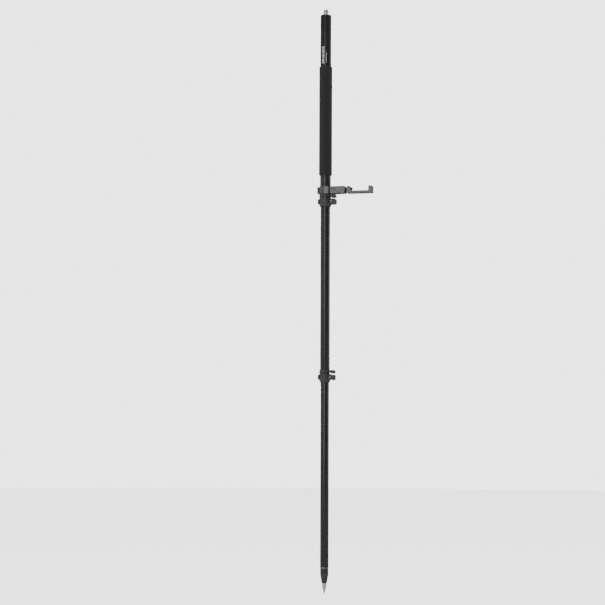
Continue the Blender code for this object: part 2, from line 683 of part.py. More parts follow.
def make_bracket():
    """Bracket body, hinged jaw, pressure pad, clamp screw and knob."""
    inner = UPPER_RADIUS + GAP
    outer = inner + BRACKET_WALL
    lug = outer + LUG_PROUD
    front = -(outer + PANEL_PROUD)
    boss_end = PIVOT_X + BOSS_PAST_PIVOT
    boss_angle = math.degrees(math.asin(BOSS_HALF_WIDTH / outer))
    panel_angle = -math.degrees(math.acos(PANEL_WIDTH / outer))
    corner = 2.0 * MM
    plan = arc((0, 0), outer, BODY_START_ANGLE - 360.0, -90.0, 14)
    plan += [(0.0, front), (PANEL_WIDTH, front)]
    plan += arc((0, 0), outer, panel_angle, -boss_angle, 3)
    plan += [(boss_end - corner, -BOSS_HALF_WIDTH), (boss_end, -BOSS_HALF_WIDTH + corner)]
    plan += [(boss_end, BOSS_HALF_WIDTH - corner), (boss_end - corner, BOSS_HALF_WIDTH)]
    plan += arc((0, 0), outer, boss_angle, SPLIT_ANGLE - LUG_ANGLE, 3)
    plan += arc((0, 0), lug, SPLIT_ANGLE - LUG_ANGLE + 2.0, SPLIT_ANGLE, 3)
    plan += arc((0, 0), inner, SPLIT_ANGLE, BODY_START_ANGLE - 360.0, 40)
    body = plate("bracket_body", plan, BRACKET_BOTTOM, BRACKET_TOP, "Z", "anodised")

    gap_angle = math.degrees(GAP / outer)
    jaw_plan = arc((0, 0), lug, SPLIT_ANGLE + gap_angle, SPLIT_ANGLE + LUG_ANGLE + 4.0, 4)
    jaw_plan += arc((0, 0), outer, SPLIT_ANGLE + LUG_ANGLE + 8.0, JAW_START_ANGLE, 22)
    jaw_plan += arc((0, 0), inner, JAW_START_ANGLE, SPLIT_ANGLE + gap_angle, 26)
    jaw = plate("bracket_jaw", jaw_plan, BRACKET_BOTTOM, BRACKET_TOP, "Z", "anodised")

    third = BRACKET_HEIGHT / 3
    lower_seam = BRACKET_BOTTOM + third
    upper_seam = BRACKET_TOP - third
    half = HINGE_GAP / 2

    def knuckle(low, high, radius, finish=None, name="knuckle"):
        return rod(name, (HINGE_X, HINGE_Y, low), (HINGE_X, HINGE_Y, high), radius, finish)

    clear = KNUCKLE_RADIUS + HINGE_GAP
    cut(body, knuckle(lower_seam - half, upper_seam + half, clear))
    join(body, knuckle(BRACKET_BOTTOM, lower_seam - half, KNUCKLE_RADIUS))
    join(body, knuckle(upper_seam + half, BRACKET_TOP, KNUCKLE_RADIUS))
    cut(jaw, knuckle(BRACKET_BOTTOM - 1.0 * MM, lower_seam + half, clear))
    cut(jaw, knuckle(upper_seam - half, BRACKET_TOP + 1.0 * MM, clear))
    join(jaw, knuckle(lower_seam + half, upper_seam - half, KNUCKLE_RADIUS))
    pin_hole = HINGE_PIN_RADIUS + GAP
    for piece in (body, jaw):
        cut(piece, knuckle(BRACKET_BOTTOM - 1.0 * MM, BRACKET_TOP + 1.0 * MM, pin_hole))
    pin = knuckle(BRACKET_BOTTOM + 0.3 * MM, BRACKET_TOP - 0.3 * MM, HINGE_PIN_RADIUS, "steel", "hinge_pin")

    # The latch screw points along the path of the jaw's free end as it opens.
    end = Vector((*on_ring((outer + lug) / 2 - 0.6 * MM, SPLIT_ANGLE), 0.0))
    arm = end - Vector((HINGE_X, HINGE_Y, 0.0))
    away = Vector((-arm.y, arm.x, 0.0)).normalized()
    seat = end + Vector((0.0, 0.0, (BRACKET_BOTTOM + BRACKET_TOP) / 2))
    clear_hole = LATCH_RADIUS + 2 * GAP
    cut(body, rod("latch_cutter", seat - away * (LATCH_REACH + 1.0 * MM), seat + away * 3.0 * MM,
                  clear_hole, None))
    cut(jaw, rod("latch_cutter", seat - away * 4.0 * MM, seat + away * 12.0 * MM, LATCH_RADIUS + GAP, None))
    cut(jaw, rod("head_cutter", seat + away * LATCH_SEAT, seat + away * 14.0 * MM,
                 LATCH_HEAD_RADIUS + HINGE_GAP, None))
    latch = rod("latch_screw", seat - away * LATCH_REACH, seat + away * (LATCH_SEAT + 1.0 * MM),
                LATCH_RADIUS, "black_steel")
    join(latch, rod("head_joiner", seat + away * (LATCH_SEAT + GAP),
                    seat + away * (LATCH_SEAT + GAP + LATCH_HEAD_HEIGHT), LATCH_HEAD_RADIUS, None))

    pad_start = UPPER_RADIUS + GAP
    pad_end = pad_start + PAD_THICKNESS
    pad = rod("pressure_pad", (pad_start, 0, KNOB_Z), (pad_end, 0, KNOB_Z), PAD_RADIUS, "nylon")
    cut(body, rod("pocket_cutter", (pad_start - 3.0 * MM, 0, KNOB_Z), (pad_end + GAP, 0, KNOB_Z),
                  PAD_RADIUS + GAP, None))
    cut(body, rod("screw_cutter", (pad_start, 0, KNOB_Z), (boss_end + 1.0 * MM, 0, KNOB_Z),
                  SCREW_RADIUS + GAP, None))
    boss_face = BOSS_HALF_WIDTH
    for side in (-1.0, 1.0):
        cut(body, rod("pivot_cutter", (PIVOT_X, side * (boss_face - PIVOT_SCREW_DEPTH - GAP), PIVOT_Z),
                      (PIVOT_X, side * (boss_face + 3.0 * MM), PIVOT_Z), PIVOT_SCREW_RADIUS + GAP, None))

    knob_start = boss_end + 1.2 * MM
    knob_end = knob_start + KNOB_LENGTH
    socket = knob_start + KNOB_SOCKET
    screw = rod("clamp_screw", (pad_end + GAP, 0, KNOB_Z), (socket - GAP, 0, KNOB_Z), SCREW_RADIUS, "steel")
    flutes = []
    for i in range(KNOB_FLUTES * 8):
        angle = 2 * math.pi * i / (KNOB_FLUTES * 8)
        radius = KNOB_RADIUS - KNOB_FLUTE * (0.5 - 0.5 * math.cos(KNOB_FLUTES * angle)) ** 2
        flutes.append((radius * math.cos(angle), radius * math.sin(angle)))
    knob = plate("clamp_knob", flutes, -KNOB_LENGTH / 2, KNOB_LENGTH / 2, "Z", "clamp_plastic")
    bevel(knob, 1.2 * MM, 1, 60)
    cut(knob, rod("socket_cutter", (0, 0, -KNOB_LENGTH), (0, 0, KNOB_SOCKET - KNOB_LENGTH / 2),
                  SCREW_RADIUS + GAP, None))
    socket_cutter = CUTTERS.objects[-1]
    knob.rotation_euler = (0.0, math.radians(90), 0.0)
    knob.location = ((knob_start + knob_end) / 2, 0.0, KNOB_Z)
    socket_cutter.parent = knob
    return [body, pin, pad], [jaw, latch], [screw, knob]


def make_arm():
    """Forked arm, its pivot bushes and screws, and the neck between arm and cradle."""
    arm_end = PIVOT_X + ARM_LENGTH
    block = arm_end - ARM_BLOCK
    top = PIVOT_Z + ARM_TOP
    bottom = PIVOT_Z - ARM_BASE_RADIUS
    start = 180.0 - math.degrees(math.asin(ARM_TOP / ARM_BASE_RADIUS))
    outline = arc((PIVOT_X, PIVOT_Z), ARM_BASE_RADIUS, start, 270.0, 18)
    scallop_x = PIVOT_X + 18.0 * MM
    sink = math.degrees(math.acos((SCALLOP_RADIUS - SCALLOP_DEPTH) / SCALLOP_RADIUS))
    scallop_center = (scallop_x, bottom - SCALLOP_RADIUS + SCALLOP_DEPTH)
    outline += arc(scallop_center, SCALLOP_RADIUS, 90.0 + sink, 90.0 - sink, 8)
    outline += [(arm_end, bottom), (arm_end, top)]
    arm = plate("arm_fork", outline, -ARM_HALF_WIDTH, ARM_HALF_WIDTH, "Y", "anodised")
    bevel(arm, 0.7 * MM, 1, 60)
    throat = ARM_HALF_WIDTH - CHEEK_THICKNESS
    cut(arm, box("throat_cutter", (PIVOT_X - 20.0 * MM, -throat, bottom - 5.0 * MM),
                 (block, throat, top + 5.0 * MM), None))
    bushes = []
    screws = []
    flange_face = ARM_HALF_WIDTH - BUSH_FLANGE
    for side, tag in ((-1.0, "front"), (1.0, "rear")):
        def level(depth):
            return (PIVOT_X, side * depth, PIVOT_Z)
        cut(arm, rod("bush_cutter", level(throat - 2.0 * MM), level(ARM_HALF_WIDTH + 2.0 * MM),
                     BUSH_RADIUS + GAP, None))
        cut(arm, rod("flange_cutter", level(flange_face - GAP), level(ARM_HALF_WIDTH + 2.0 * MM),
                     BUSH_FLANGE_RADIUS + GAP, None, 32))
        bush = rod("pivot_bush_" + tag, level(throat + GAP), level(ARM_HALF_WIDTH - 0.3 * MM),
                   BUSH_RADIUS, "anodised", 32)
        join(bush, rod("flange_joiner", level(flange_face), level(ARM_HALF_WIDTH - 0.1 * MM),
                       BUSH_FLANGE_RADIUS, None, 32))
        cut(bush, rod("bore_cutter", level(throat - 1.0 * MM), level(ARM_HALF_WIDTH + 2.0 * MM),
                      PIVOT_SCREW_RADIUS + GAP, None))
        cut(bush, rod("head_cutter", level(flange_face - GAP / 2), level(ARM_HALF_WIDTH + 2.0 * MM),
                      PIVOT_HEAD_RADIUS + GAP, None))
        screw = rod("pivot_screw_" + tag, level(BOSS_HALF_WIDTH - PIVOT_SCREW_DEPTH),
                    level(flange_face + PIVOT_HEAD_HEIGHT / 2), PIVOT_SCREW_RADIUS, "black_steel")
        join(screw, rod("head_joiner", level(flange_face + GAP / 2),
                        level(flange_face + GAP / 2 + PIVOT_HEAD_HEIGHT), PIVOT_HEAD_RADIUS, None))
        bushes.append(bush)
        screws.append(screw)

    neck_z = PIVOT_Z - NECK_DROP
    cradle_start = arm_end + NECK_LENGTH
    neck = rod("neck_spacer", (arm_end + GAP, 0, neck_z), (cradle_start - GAP, 0, neck_z),
               NECK_RADIUS, "rubber", 32)
    hole = CRADLE_SCREW_RADIUS + GAP
    head_seat = block + CRADLE_HEAD_HEIGHT + 0.6 * MM
    for piece in (neck, arm):
        cut(piece, rod("screw_cutter", (block - 1.0 * MM, 0, neck_z),
                       (cradle_start + 1.0 * MM, 0, neck_z), hole, None))
    cut(arm, rod("head_cutter", (block - 2.0 * MM, 0, neck_z), (head_seat, 0, neck_z),
                 CRADLE_HEAD_RADIUS + GAP, None))
    screw = rod("cradle_screw", (head_seat - 1.0 * MM, 0, neck_z),
                (cradle_start + CRADLE_SCREW_REACH, 0, neck_z), CRADLE_SCREW_RADIUS, "steel")
    join(screw, rod("head_joiner", (head_seat - GAP - CRADLE_HEAD_HEIGHT, 0, neck_z),
                    (head_seat - GAP, 0, neck_z), CRADLE_HEAD_RADIUS, None))
    return [arm, neck, screw, *bushes], screws


def make_cradle():
    """Cradle with its fixed inner jaw, and the sprung outer jaw on two rods."""
    start = PIVOT_X + ARM_LENGTH + NECK_LENGTH
    bottom = PIVOT_Z - ARM_BASE_RADIUS + 0.1 * MM
    shelf = bottom + SHELF_THICKNESS
    top = PIVOT_Z + CRADLE_TOP
    face = start + INNER_JAW_LENGTH
    tip = face + HOOK_REACH
    tip_z = PIVOT_Z + HOOK_TIP
    end = start + SHELF_LENGTH
    cradle = plate("cradle", rounded([
        (start, bottom, 0.8 * MM), (end, bottom, 0.4 * MM), (end, shelf, 0.4 * MM),
        (face, shelf, 3.0 * MM), (face, tip_z - 3.2 * MM, 2.0 * MM), (tip, tip_z, 0.7 * MM),
        (tip - 2.0 * MM, tip_z + 2.4 * MM, 1.0 * MM), (start + 8.6 * MM, top, 1.5 * MM),
        (start, top, 0.8 * MM),
    ]), -ARM_HALF_WIDTH, ARM_HALF_WIDTH, "Y", "anodised")
    bevel(cradle, 0.6 * MM, 1, 60)
    mid = (bottom + shelf) / 2
    neck_z = PIVOT_Z - NECK_DROP
    cut(cradle, rod("screw_cutter", (start - 1.0 * MM, 0, neck_z),
                    (start + CRADLE_SCREW_REACH + GAP, 0, neck_z), CRADLE_SCREW_RADIUS + GAP, None))
    jaw_face = end + GAP
    outer_face = jaw_face + OUTER_JAW_THICKNESS
    rods = []
    for side, tag in ((-1.0, "front"), (1.0, "rear")):
        y = side * ROD_SPACING / 2
        cut(cradle, rod("rod_cutter", (end - ROD_REACH - 3.0 * MM, y, mid), (end + 1.0 * MM, y, mid),
                        ROD_RADIUS + GAP, None))
        rods.append(rod("guide_rod_" + tag, (end - ROD_REACH, y, mid),
                        (jaw_face + ROD_SOCKET - GAP, y, mid), ROD_RADIUS, "steel"))
    spring_end = jaw_face + SPRING_DEPTH - GAP
    spring_start = spring_end - SPRING_LENGTH
    spring = rod("jaw_spring", (spring_start, 0, mid), (spring_end, 0, mid), SPRING_RADIUS, "steel", 16)
    cut(cradle, rod("spring_cutter", (spring_start - GAP, 0, mid), (end + 1.0 * MM, 0, mid),
                    SPRING_RADIUS + GAP, None))
    jaw = plate("outer_jaw", rounded([
        (jaw_face, bottom, 0.5 * MM), (outer_face + OUTER_JAW_TOE, bottom, 0.4 * MM),
        (outer_face, bottom + OUTER_JAW_TOE, 0.8 * MM), (outer_face, top, 0.8 * MM),
        (jaw_face - OUTER_JAW_LIP, top, 0.7 * MM), (jaw_face - OUTER_JAW_LIP, top - 2.4 * MM, 0.5 * MM),
        (jaw_face, top - 2.4 * MM - OUTER_JAW_LIP, 0.8 * MM),
    ]), -ARM_HALF_WIDTH, ARM_HALF_WIDTH, "Y", "anodised")
    bevel(jaw, 0.6 * MM, 1, 60)
    groove = outer_face - JAW_GROOVE_INSET
    wide = ARM_HALF_WIDTH - JAW_GROOVE
    far = groove + JAW_GROOVE
    over = top + 1.0 * MM
    under = bottom - 1.0 * MM
    for low, high in (((groove, -wide * 2, under), (far, -wide, over)),
                      ((groove, wide, under), (far, wide * 2, over)),
                      ((groove, -wide * 2, top - JAW_GROOVE), (far, wide * 2, over))):
        cut(jaw, box("groove_cutter", low, high, None))
    for y in (-ROD_SPACING / 2, ROD_SPACING / 2):
        cut(jaw, rod("rod_cutter", (jaw_face - 1.0 * MM, y, mid), (jaw_face + ROD_SOCKET, y, mid),
                     ROD_RADIUS + GAP, None))
    cut(jaw, rod("spring_cutter", (jaw_face - 1.0 * MM, 0, mid), (jaw_face + SPRING_DEPTH, 0, mid),
                 SPRING_RADIUS + GAP, None))
    pad_low = shelf + 3.4 * MM
    inner_pad = box("inner_jaw_pad", (face + GAP, -PAD_HALF_WIDTH, pad_low),
                    (face + GAP + PAD_SHEET, PAD_HALF_WIDTH, tip_z - 3.6 * MM), "rubber")
    outer_pad = box("outer_jaw_pad", (jaw_face - GAP - PAD_SHEET, -PAD_HALF_WIDTH, shelf + 0.8 * MM),
                    (jaw_face - GAP, PAD_HALF_WIDTH, top - 2.4 * MM - OUTER_JAW_LIP - 0.4 * MM), "rubber")
    return [cradle, inner_pad, spring], [jaw, outer_pad, *rods]


# ---------------------------------------------------------------- assembly

clear_scene()
PARTS = new_collection("prism_pole")
CUTTERS = new_collection("prism_pole_cutters")

middle_top = UPPER_CLAMP_TOP + TUBE_OVERLAP
lower_top = LOWER_CLAMP_TOP + TUBE_OVERLAP
upper_bore = UPPER_RADIUS - UPPER_WALL
middle_bore = MIDDLE_RADIUS - MIDDLE_WALL

lower_section = make_point() + [
    tube("lower_tube", LOWER_RADIUS, LOWER_WALL, lower_top, RING_TOP),
    guide_sleeve("lower_guide_sleeve", LOWER_RADIUS, middle_bore, lower_top),
]
lower_clamp, lower_cam, lower_ring = place_group(
    lambda: clamp("lower", MIDDLE_RADIUS, MIDDLE_WALL, LOWER_RADIUS), LOWER_CLAMP_TOP)
lower_lever = place_group(lambda: cam_lever("lower", lower_cam, lower_ring), LOWER_CLAMP_TOP)
middle_section = lower_clamp + [
    tube("middle_tube", MIDDLE_RADIUS, MIDDLE_WALL, middle_top, LOWER_CLAMP_BOTTOM + CLAMP_SEAT),
    guide_sleeve("middle_guide_sleeve", MIDDLE_RADIUS, upper_bore, middle_top),
]
upper_clamp, upper_cam, upper_ring = place_group(
    lambda: clamp("upper", UPPER_RADIUS, UPPER_WALL, MIDDLE_RADIUS), UPPER_CLAMP_TOP)
upper_lever = place_group(lambda: cam_lever("upper", upper_cam, upper_ring), UPPER_CLAMP_TOP)
bracket_parts, jaw_parts, knob_parts = make_bracket()
arm_parts, pivot_screws = make_arm()
cradle_parts, outer_jaw_parts = make_cradle()
upper_section = upper_clamp + make_top() + bracket_parts + pivot_screws + [
    tube("upper_tube", UPPER_RADIUS, UPPER_WALL, SHOULDER - PLUG_FLANGE - GAP,
         UPPER_CLAMP_BOTTOM + CLAMP_SEAT),
]

groups = {
    "lower_section": ((0.0, 0.0, 0.0), lower_section),
    "middle_section": ((0.0, 0.0, LOWER_CLAMP_BOTTOM), middle_section),
    "upper_section": ((0.0, 0.0, UPPER_CLAMP_BOTTOM), upper_section),
    "lower_lever": (Vector(lower_cam) + Vector((0.0, 0.0, LOWER_CLAMP_TOP)), lower_lever),
    "upper_lever": (Vector(upper_cam) + Vector((0.0, 0.0, UPPER_CLAMP_TOP)), upper_lever),
    "collar_jaw": ((HINGE_X, HINGE_Y, BRACKET_BOTTOM), jaw_parts),
    "knob": ((PIVOT_X, 0.0, KNOB_Z), knob_parts),
    "arm": ((PIVOT_X, 0.0, PIVOT_Z), arm_parts + cradle_parts),
    "phone_jaw": ((PIVOT_X + ARM_LENGTH + NECK_LENGTH + SHELF_LENGTH, 0.0, PIVOT_Z), outer_jaw_parts),
}
for group_name, (place, members) in groups.items():
    carry(body_empty(group_name + "_axis", place), *members)
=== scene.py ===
"""Telescopic survey pole with a phone cradle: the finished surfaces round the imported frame.

Every piece takes its place from the frame's own boxes.  Metres, +Z up; the pole's front faces -Y.
"""

import json
import math

import bmesh
import bpy
from mathutils import Matrix, Vector, noise

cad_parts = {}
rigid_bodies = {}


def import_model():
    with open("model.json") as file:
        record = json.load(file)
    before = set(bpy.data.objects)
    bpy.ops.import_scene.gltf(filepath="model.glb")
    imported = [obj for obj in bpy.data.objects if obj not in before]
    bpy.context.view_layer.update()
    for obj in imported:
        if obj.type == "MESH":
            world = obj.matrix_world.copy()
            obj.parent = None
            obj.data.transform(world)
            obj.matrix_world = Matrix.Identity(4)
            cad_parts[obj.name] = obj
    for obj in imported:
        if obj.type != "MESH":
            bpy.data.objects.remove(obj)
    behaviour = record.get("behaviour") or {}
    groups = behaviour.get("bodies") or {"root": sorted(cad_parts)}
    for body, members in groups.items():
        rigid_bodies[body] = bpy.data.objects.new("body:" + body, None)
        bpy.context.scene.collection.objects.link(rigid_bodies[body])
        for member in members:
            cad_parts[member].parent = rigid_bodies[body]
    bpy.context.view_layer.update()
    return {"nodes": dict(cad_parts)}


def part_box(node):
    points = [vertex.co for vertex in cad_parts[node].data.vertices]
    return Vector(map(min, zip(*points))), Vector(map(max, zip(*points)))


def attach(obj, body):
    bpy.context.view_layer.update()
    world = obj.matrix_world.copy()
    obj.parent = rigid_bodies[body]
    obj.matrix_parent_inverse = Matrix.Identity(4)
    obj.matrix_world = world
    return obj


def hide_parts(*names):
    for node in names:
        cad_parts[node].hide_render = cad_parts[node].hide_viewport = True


for leftover in list(bpy.data.objects):
    bpy.data.objects.remove(leftover, do_unlink=True)
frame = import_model()
MM = 0.001


# ---------------------------------------------------------------- stage
# A pale floor, a tall softbox beside the camera, a weaker one at each side, one overhead, and a
# pale surround that the camera sees brighter than the lit surfaces do.

AZIMUTH = math.radians(12.5)
ELEVATION = math.radians(-4.5)
LEAN = math.radians(0.24)     # the camera was held very slightly off level
CAMERA_DISTANCE = 5.0
FRAME_HEIGHT = 1.8755        # what the view takes in at the pole's distance
AIM_HEIGHT = 0.8946
AIM_LEFT = 0.070             # the pole stands this far right of the view's centre
SENSOR_MM = 36.0
BACKDROP = 3.4               # brightness of the surround behind the object
FLOOR_GLOW = 2.5             # lifts the floor, as the camera sees it, near to the surround
FLOOR_RADIUS = 9.0
# name, place, the point it looks at, width and height, watts
PANELS = (("key_panel", (-0.55, -4.0, 1.9), (0.0, 0.0, 1.0), (1.3, 3.4), 62.0),
          ("left_panel", (-3.6, -0.8, 1.5), (0.0, 0.0, 0.95), (1.2, 2.4), 22.0),
          ("right_panel", (3.0, 1.3, 1.3), (0.0, 0.0, 0.95), (0.8, 2.4), 20.0),
          ("top_panel", (0.3, 0.4, 4.2), (0.0, 0.0, 0.9), (2.0, 2.0), 40.0))


def panel(name, place, aim, size, power):
    """A soft rectangular light that looks at a point."""
    lamp = bpy.data.lights.new(name, "AREA")
    lamp.shape = "RECTANGLE"
    lamp.size, lamp.size_y = size
    lamp.energy = power
    holder = bpy.data.objects.new(name, lamp)
    holder.location = place
    holder.rotation_euler = (Vector(aim) - Vector(place)).to_track_quat("-Z", "Y").to_euler()
    bpy.context.scene.collection.objects.link(holder)


def put(tree, kind, inputs=None, **settings):
    """Add a node, set its properties, and set or link its inputs."""
    made = tree.nodes.new(kind)
    for key, value in settings.items():
        setattr(made, key, value)
    for key, value in (inputs or {}).items():
        if isinstance(value, bpy.types.NodeSocket):
            tree.links.new(value, made.inputs[key])
        else:
            made.inputs[key].default_value = value
    return made


def make_stage():
    right = Vector((math.cos(AZIMUTH), math.sin(AZIMUTH), 0.0))
    back = Vector((math.sin(AZIMUTH) * math.cos(ELEVATION), -math.cos(AZIMUTH) * math.cos(ELEVATION),
                   math.sin(ELEVATION)))
    aim = Vector((0.0, 0.0, AIM_HEIGHT)) - right * AIM_LEFT
    lens = bpy.data.cameras.new("camera")
    lens.sensor_width = SENSOR_MM
    lens.lens = SENSOR_MM * CAMERA_DISTANCE / FRAME_HEIGHT
    camera = bpy.data.objects.new("camera", lens)
    camera.location = aim + back * CAMERA_DISTANCE
    level = (-back).to_track_quat("-Z", "Y").to_matrix()
    camera.rotation_euler = (level @ Matrix.Rotation(LEAN, 3, "Z")).to_euler()
    bpy.context.scene.collection.objects.link(camera)
    bpy.context.scene.camera = camera

    for values in PANELS:
        panel(*values)

    world = bpy.data.worlds.new("surround")
    bpy.context.scene.world = world
    world.use_nodes = True
    tree = world.node_tree
    tree.nodes.clear()
    place = put(tree, "ShaderNodeTexCoord")
    parts = put(tree, "ShaderNodeSeparateXYZ", {"Vector": place.outputs["Generated"]})
    depth = put(tree, "ShaderNodeMapRange", {"Value": parts.outputs["Y"], "From Min": -0.3, "From Max": 0.9,
                                             "To Min": 0.14, "To Max": 0.40}, interpolation_type="SMOOTHSTEP")
    path = put(tree, "ShaderNodeLightPath")
    seen = put(tree, "ShaderNodeMix", {"Factor": path.outputs["Is Camera Ray"], "A": depth.outputs["Result"],
                                       "B": BACKDROP})
    light = put(tree, "ShaderNodeBackground", {"Color": (1.0, 1.0, 1.0, 1.0),
                                               "Strength": seen.outputs["Result"]})
    put(tree, "ShaderNodeOutputWorld", {"Surface": light.outputs["Background"]})

    bm = bmesh.new()
    bmesh.ops.create_circle(bm, cap_ends=True, segments=96, radius=FLOOR_RADIUS)
    mesh = bpy.data.meshes.new("floor")
    bm.to_mesh(mesh)
    bm.free()
    floor = bpy.data.objects.new("floor", mesh)
    bpy.context.scene.collection.objects.link(floor)
    pale = bpy.data.materials.new("pale_floor")
    pale.use_nodes = True
    shader = pale.node_tree.nodes["Principled BSDF"]
    shader.inputs["Base Color"].default_value = (0.86, 0.86, 0.86, 1.0)
    shader.inputs["Roughness"].default_value = 0.7
    shader.inputs["Emission Color"].default_value = (1.0, 1.0, 1.0, 1.0)
    path = put(pale.node_tree, "ShaderNodeLightPath")
    glow = put(pale.node_tree, "ShaderNodeMath", {0: path.outputs["Is Camera Ray"], 1: FLOOR_GLOW},
               operation="MULTIPLY")
    pale.node_tree.links.new(glow.outputs[0], shader.inputs["Emission Strength"])
    mesh.materials.append(pale)


make_stage()


# ---------------------------------------------------------------- tubes
# Three carbon fibre tubes, the smaller ones sliding in the larger.  Each is a wrapped and cured
# laminate under clear satin lacquer, cut square, with its ends lightly broken.

UPPER_WALL = 1.0 * MM
MIDDLE_WALL = 0.8 * MM
LOWER_WALL = 1.0 * MM
TOWS_ROUND = 48              # a multiple of four, so that the twill closes on itself
TOW_WIDTH = 2.0 * MM
WRAP_PITCH = 14.0 * MM


def surface(name, color, roughness, metallic=0.0, **fixed):
    """A material with its Principled shader, plain values set on the shader's own sockets."""
    made = bpy.data.materials.new(name)
    made.use_nodes = True
    made.diffuse_color = (*color, 1.0)
    tree = made.node_tree
    shader = tree.nodes["Principled BSDF"]
    shader.inputs["Base Color"].default_value = (*color, 1.0)
    shader.inputs["Roughness"].default_value = roughness
    shader.inputs["Metallic"].default_value = metallic
    for key, value in fixed.items():
        shader.inputs[key.replace("_", " ")].default_value = value
    return made, tree, shader


def math_node(tree, operation, first, second=0.0):
    return put(tree, "ShaderNodeMath", {0: first, 1: second}, operation=operation).outputs[0]


def tinted(tree, factor, low, high):
    """A colour between two others, for a shader's Base Color."""
    mixed = put(tree, "ShaderNodeMix", data_type="RGBA")
    tree.links.new(factor, mixed.inputs[0])
    mixed.inputs[6].default_value = (*low, 1.0)
    mixed.inputs[7].default_value = (*high, 1.0)
    return mixed.outputs[2]


def ranged(tree, factor, low, high):
    return put(tree, "ShaderNodeMapRange", {"Value": factor, "To Min": low, "To Max": high}).outputs["Result"]


def bumped(tree, shader, height, strength, distance):
    bump = put(tree, "ShaderNodeBump", {"Height": height, "Strength": strength, "Distance": distance})
    tree.links.new(bump.outputs["Normal"], shader.inputs["Normal"])


def grain(tree, scale, detail=2.0, roughness=0.5):
    where = put(tree, "ShaderNodeTexCoord").outputs["Object"]
    return put(tree, "ShaderNodeTexNoise", {"Vector": where, "Scale": scale, "Detail": detail,
                                            "Roughness": roughness}).outputs["Fac"]


def carbon_surface():
    made, tree, shader = surface("lacquered_carbon", (0.020, 0.021, 0.023), 0.36, Coat_Weight=0.12,
                                 Coat_Roughness=0.25)
    where = put(tree, "ShaderNodeTexCoord").outputs["Object"]
    axes = put(tree, "ShaderNodeSeparateXYZ", {"Vector": where}).outputs
    turn = math_node(tree, "DIVIDE", math_node(tree, "ARCTAN2", axes["Y"], axes["X"]), math.tau)
    across = math_node(tree, "MULTIPLY", turn, float(TOWS_ROUND))
    along = math_node(tree, "DIVIDE", axes["Z"], TOW_WIDTH)
    step = math_node(tree, "ADD", math_node(tree, "FLOOR", across), math_node(tree, "FLOOR", along))
    over = math_node(tree, "LESS_THAN", math_node(tree, "FLOORED_MODULO", step, 4.0), 2.0)
    crown_across, crown_along = (
        math_node(tree, "ABSOLUTE", math_node(tree, "SINE", math_node(tree, "MULTIPLY", way, math.pi)))
        for way in (across, along))
    crown = put(tree, "ShaderNodeMix",
                {"Factor": over, "A": crown_along, "B": crown_across}).outputs["Result"]
    wrap = math_node(tree, "ADD", math_node(tree, "DIVIDE", axes["Z"], WRAP_PITCH), turn)
    ridge = math_node(tree, "POWER", math_node(tree, "ABSOLUTE", math_node(
        tree, "SINE", math_node(tree, "MULTIPLY", wrap, math.pi))), 0.25)
    # Painted reflection: the tows of one direction are coloured lighter than the other, and each tow is
    # lighter along its crown, standing in for the fibres' directional highlight under the lacquer.
    tone_and_painted_light = math_node(tree, "MULTIPLY_ADD", over, 0.45)
    tree.links.new(math_node(tree, "MULTIPLY", crown, 0.4), tone_and_painted_light.node.inputs[2])
    tree.links.new(tinted(tree, tone_and_painted_light, (0.013, 0.0135, 0.015), (0.030, 0.031, 0.034)),
                   shader.inputs["Base Color"])
    smear = grain(tree, 90.0, 4.0)
    rough = math_node(tree, "ADD", ranged(tree, over, -0.03, 0.03), ranged(tree, smear, 0.28, 0.44))
    tree.links.new(rough, shader.inputs["Roughness"])
    relief = math_node(tree, "ADD", math_node(tree, "MULTIPLY", crown, 0.25), ridge)
    bumped(tree, shader, relief, 0.12, 0.00012)
    return made


def as_object(name, bm, smooth_angle=32.0):
    """Turn a finished bmesh into an object at the origin, smooth but for its sharp edges."""
    mesh = bpy.data.meshes.new(name)
    bm.to_mesh(mesh)
    bm.free()
    mesh.shade_smooth()
    mesh.set_sharp_from_angle(angle=math.radians(smooth_angle))
    made = bpy.data.objects.new(name, mesh)
    bpy.context.scene.collection.objects.link(made)
    return made


def turned(name, profile, steps=96, place=None, loop=False, edge=0.0):
    """Skin rings of (radius, level) or (corner radius, level, sides) round the Z axis, then place it.

    A radius may also be a function of the angle and the level.
    """
    bm = bmesh.new()
    rings = []
    for radius, level, *sides in profile:
        ring = []
        for i in range(steps):
            angle = math.tau * i / steps
            reach = radius(angle, level) if callable(radius) else radius
            if sides:
                slice_angle = math.tau / sides[0]
                reach *= math.cos(slice_angle / 2) / math.cos(angle % slice_angle - slice_angle / 2)
            ring.append(bm.verts.new((reach * math.cos(angle), reach * math.sin(angle), level)))
        rings.append(ring)
    pairs = list(zip(rings, rings[1:])) + ([(rings[-1], rings[0])] if loop else [])
    for first, second in pairs:
        for i in range(steps):
            j = (i + 1) % steps
            bm.faces.new((first[i], first[j], second[j], second[i]))
    if not loop:
        bm.faces.new(rings[0][::-1])
        bm.faces.new(rings[-1])
    bmesh.ops.recalc_face_normals(bm, faces=bm.faces)
    if edge:
        corners = [e for e in bm.edges if e.calc_face_angle(0.0) > math.radians(35)]
        bmesh.ops.bevel(bm, geom=corners, offset=edge, segments=2, profile=0.5, affect="EDGES",
                        clamp_overlap=True)
    if place is not None:
        bm.transform(place)
    return as_object(name, bm)


def fitted(piece, body, slot, finish, *nodes):
    """Give a piece its finish, its body and the nodes that it stands for."""
    piece.data.materials.clear()
    piece.data.materials.append(finish)
    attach(piece, body)
    if nodes:
        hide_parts(*nodes)
    return piece


def pipe(name, radius, bore, bottom, top, edge, finish, body, slot, *nodes):
    """A plain tube with its four rims broken."""
    profile = [(radius, bottom), (radius, top), (bore, top), (bore, bottom)]
    return fitted(turned(name, profile, 128, loop=True, edge=edge), body, slot, finish, *nodes)


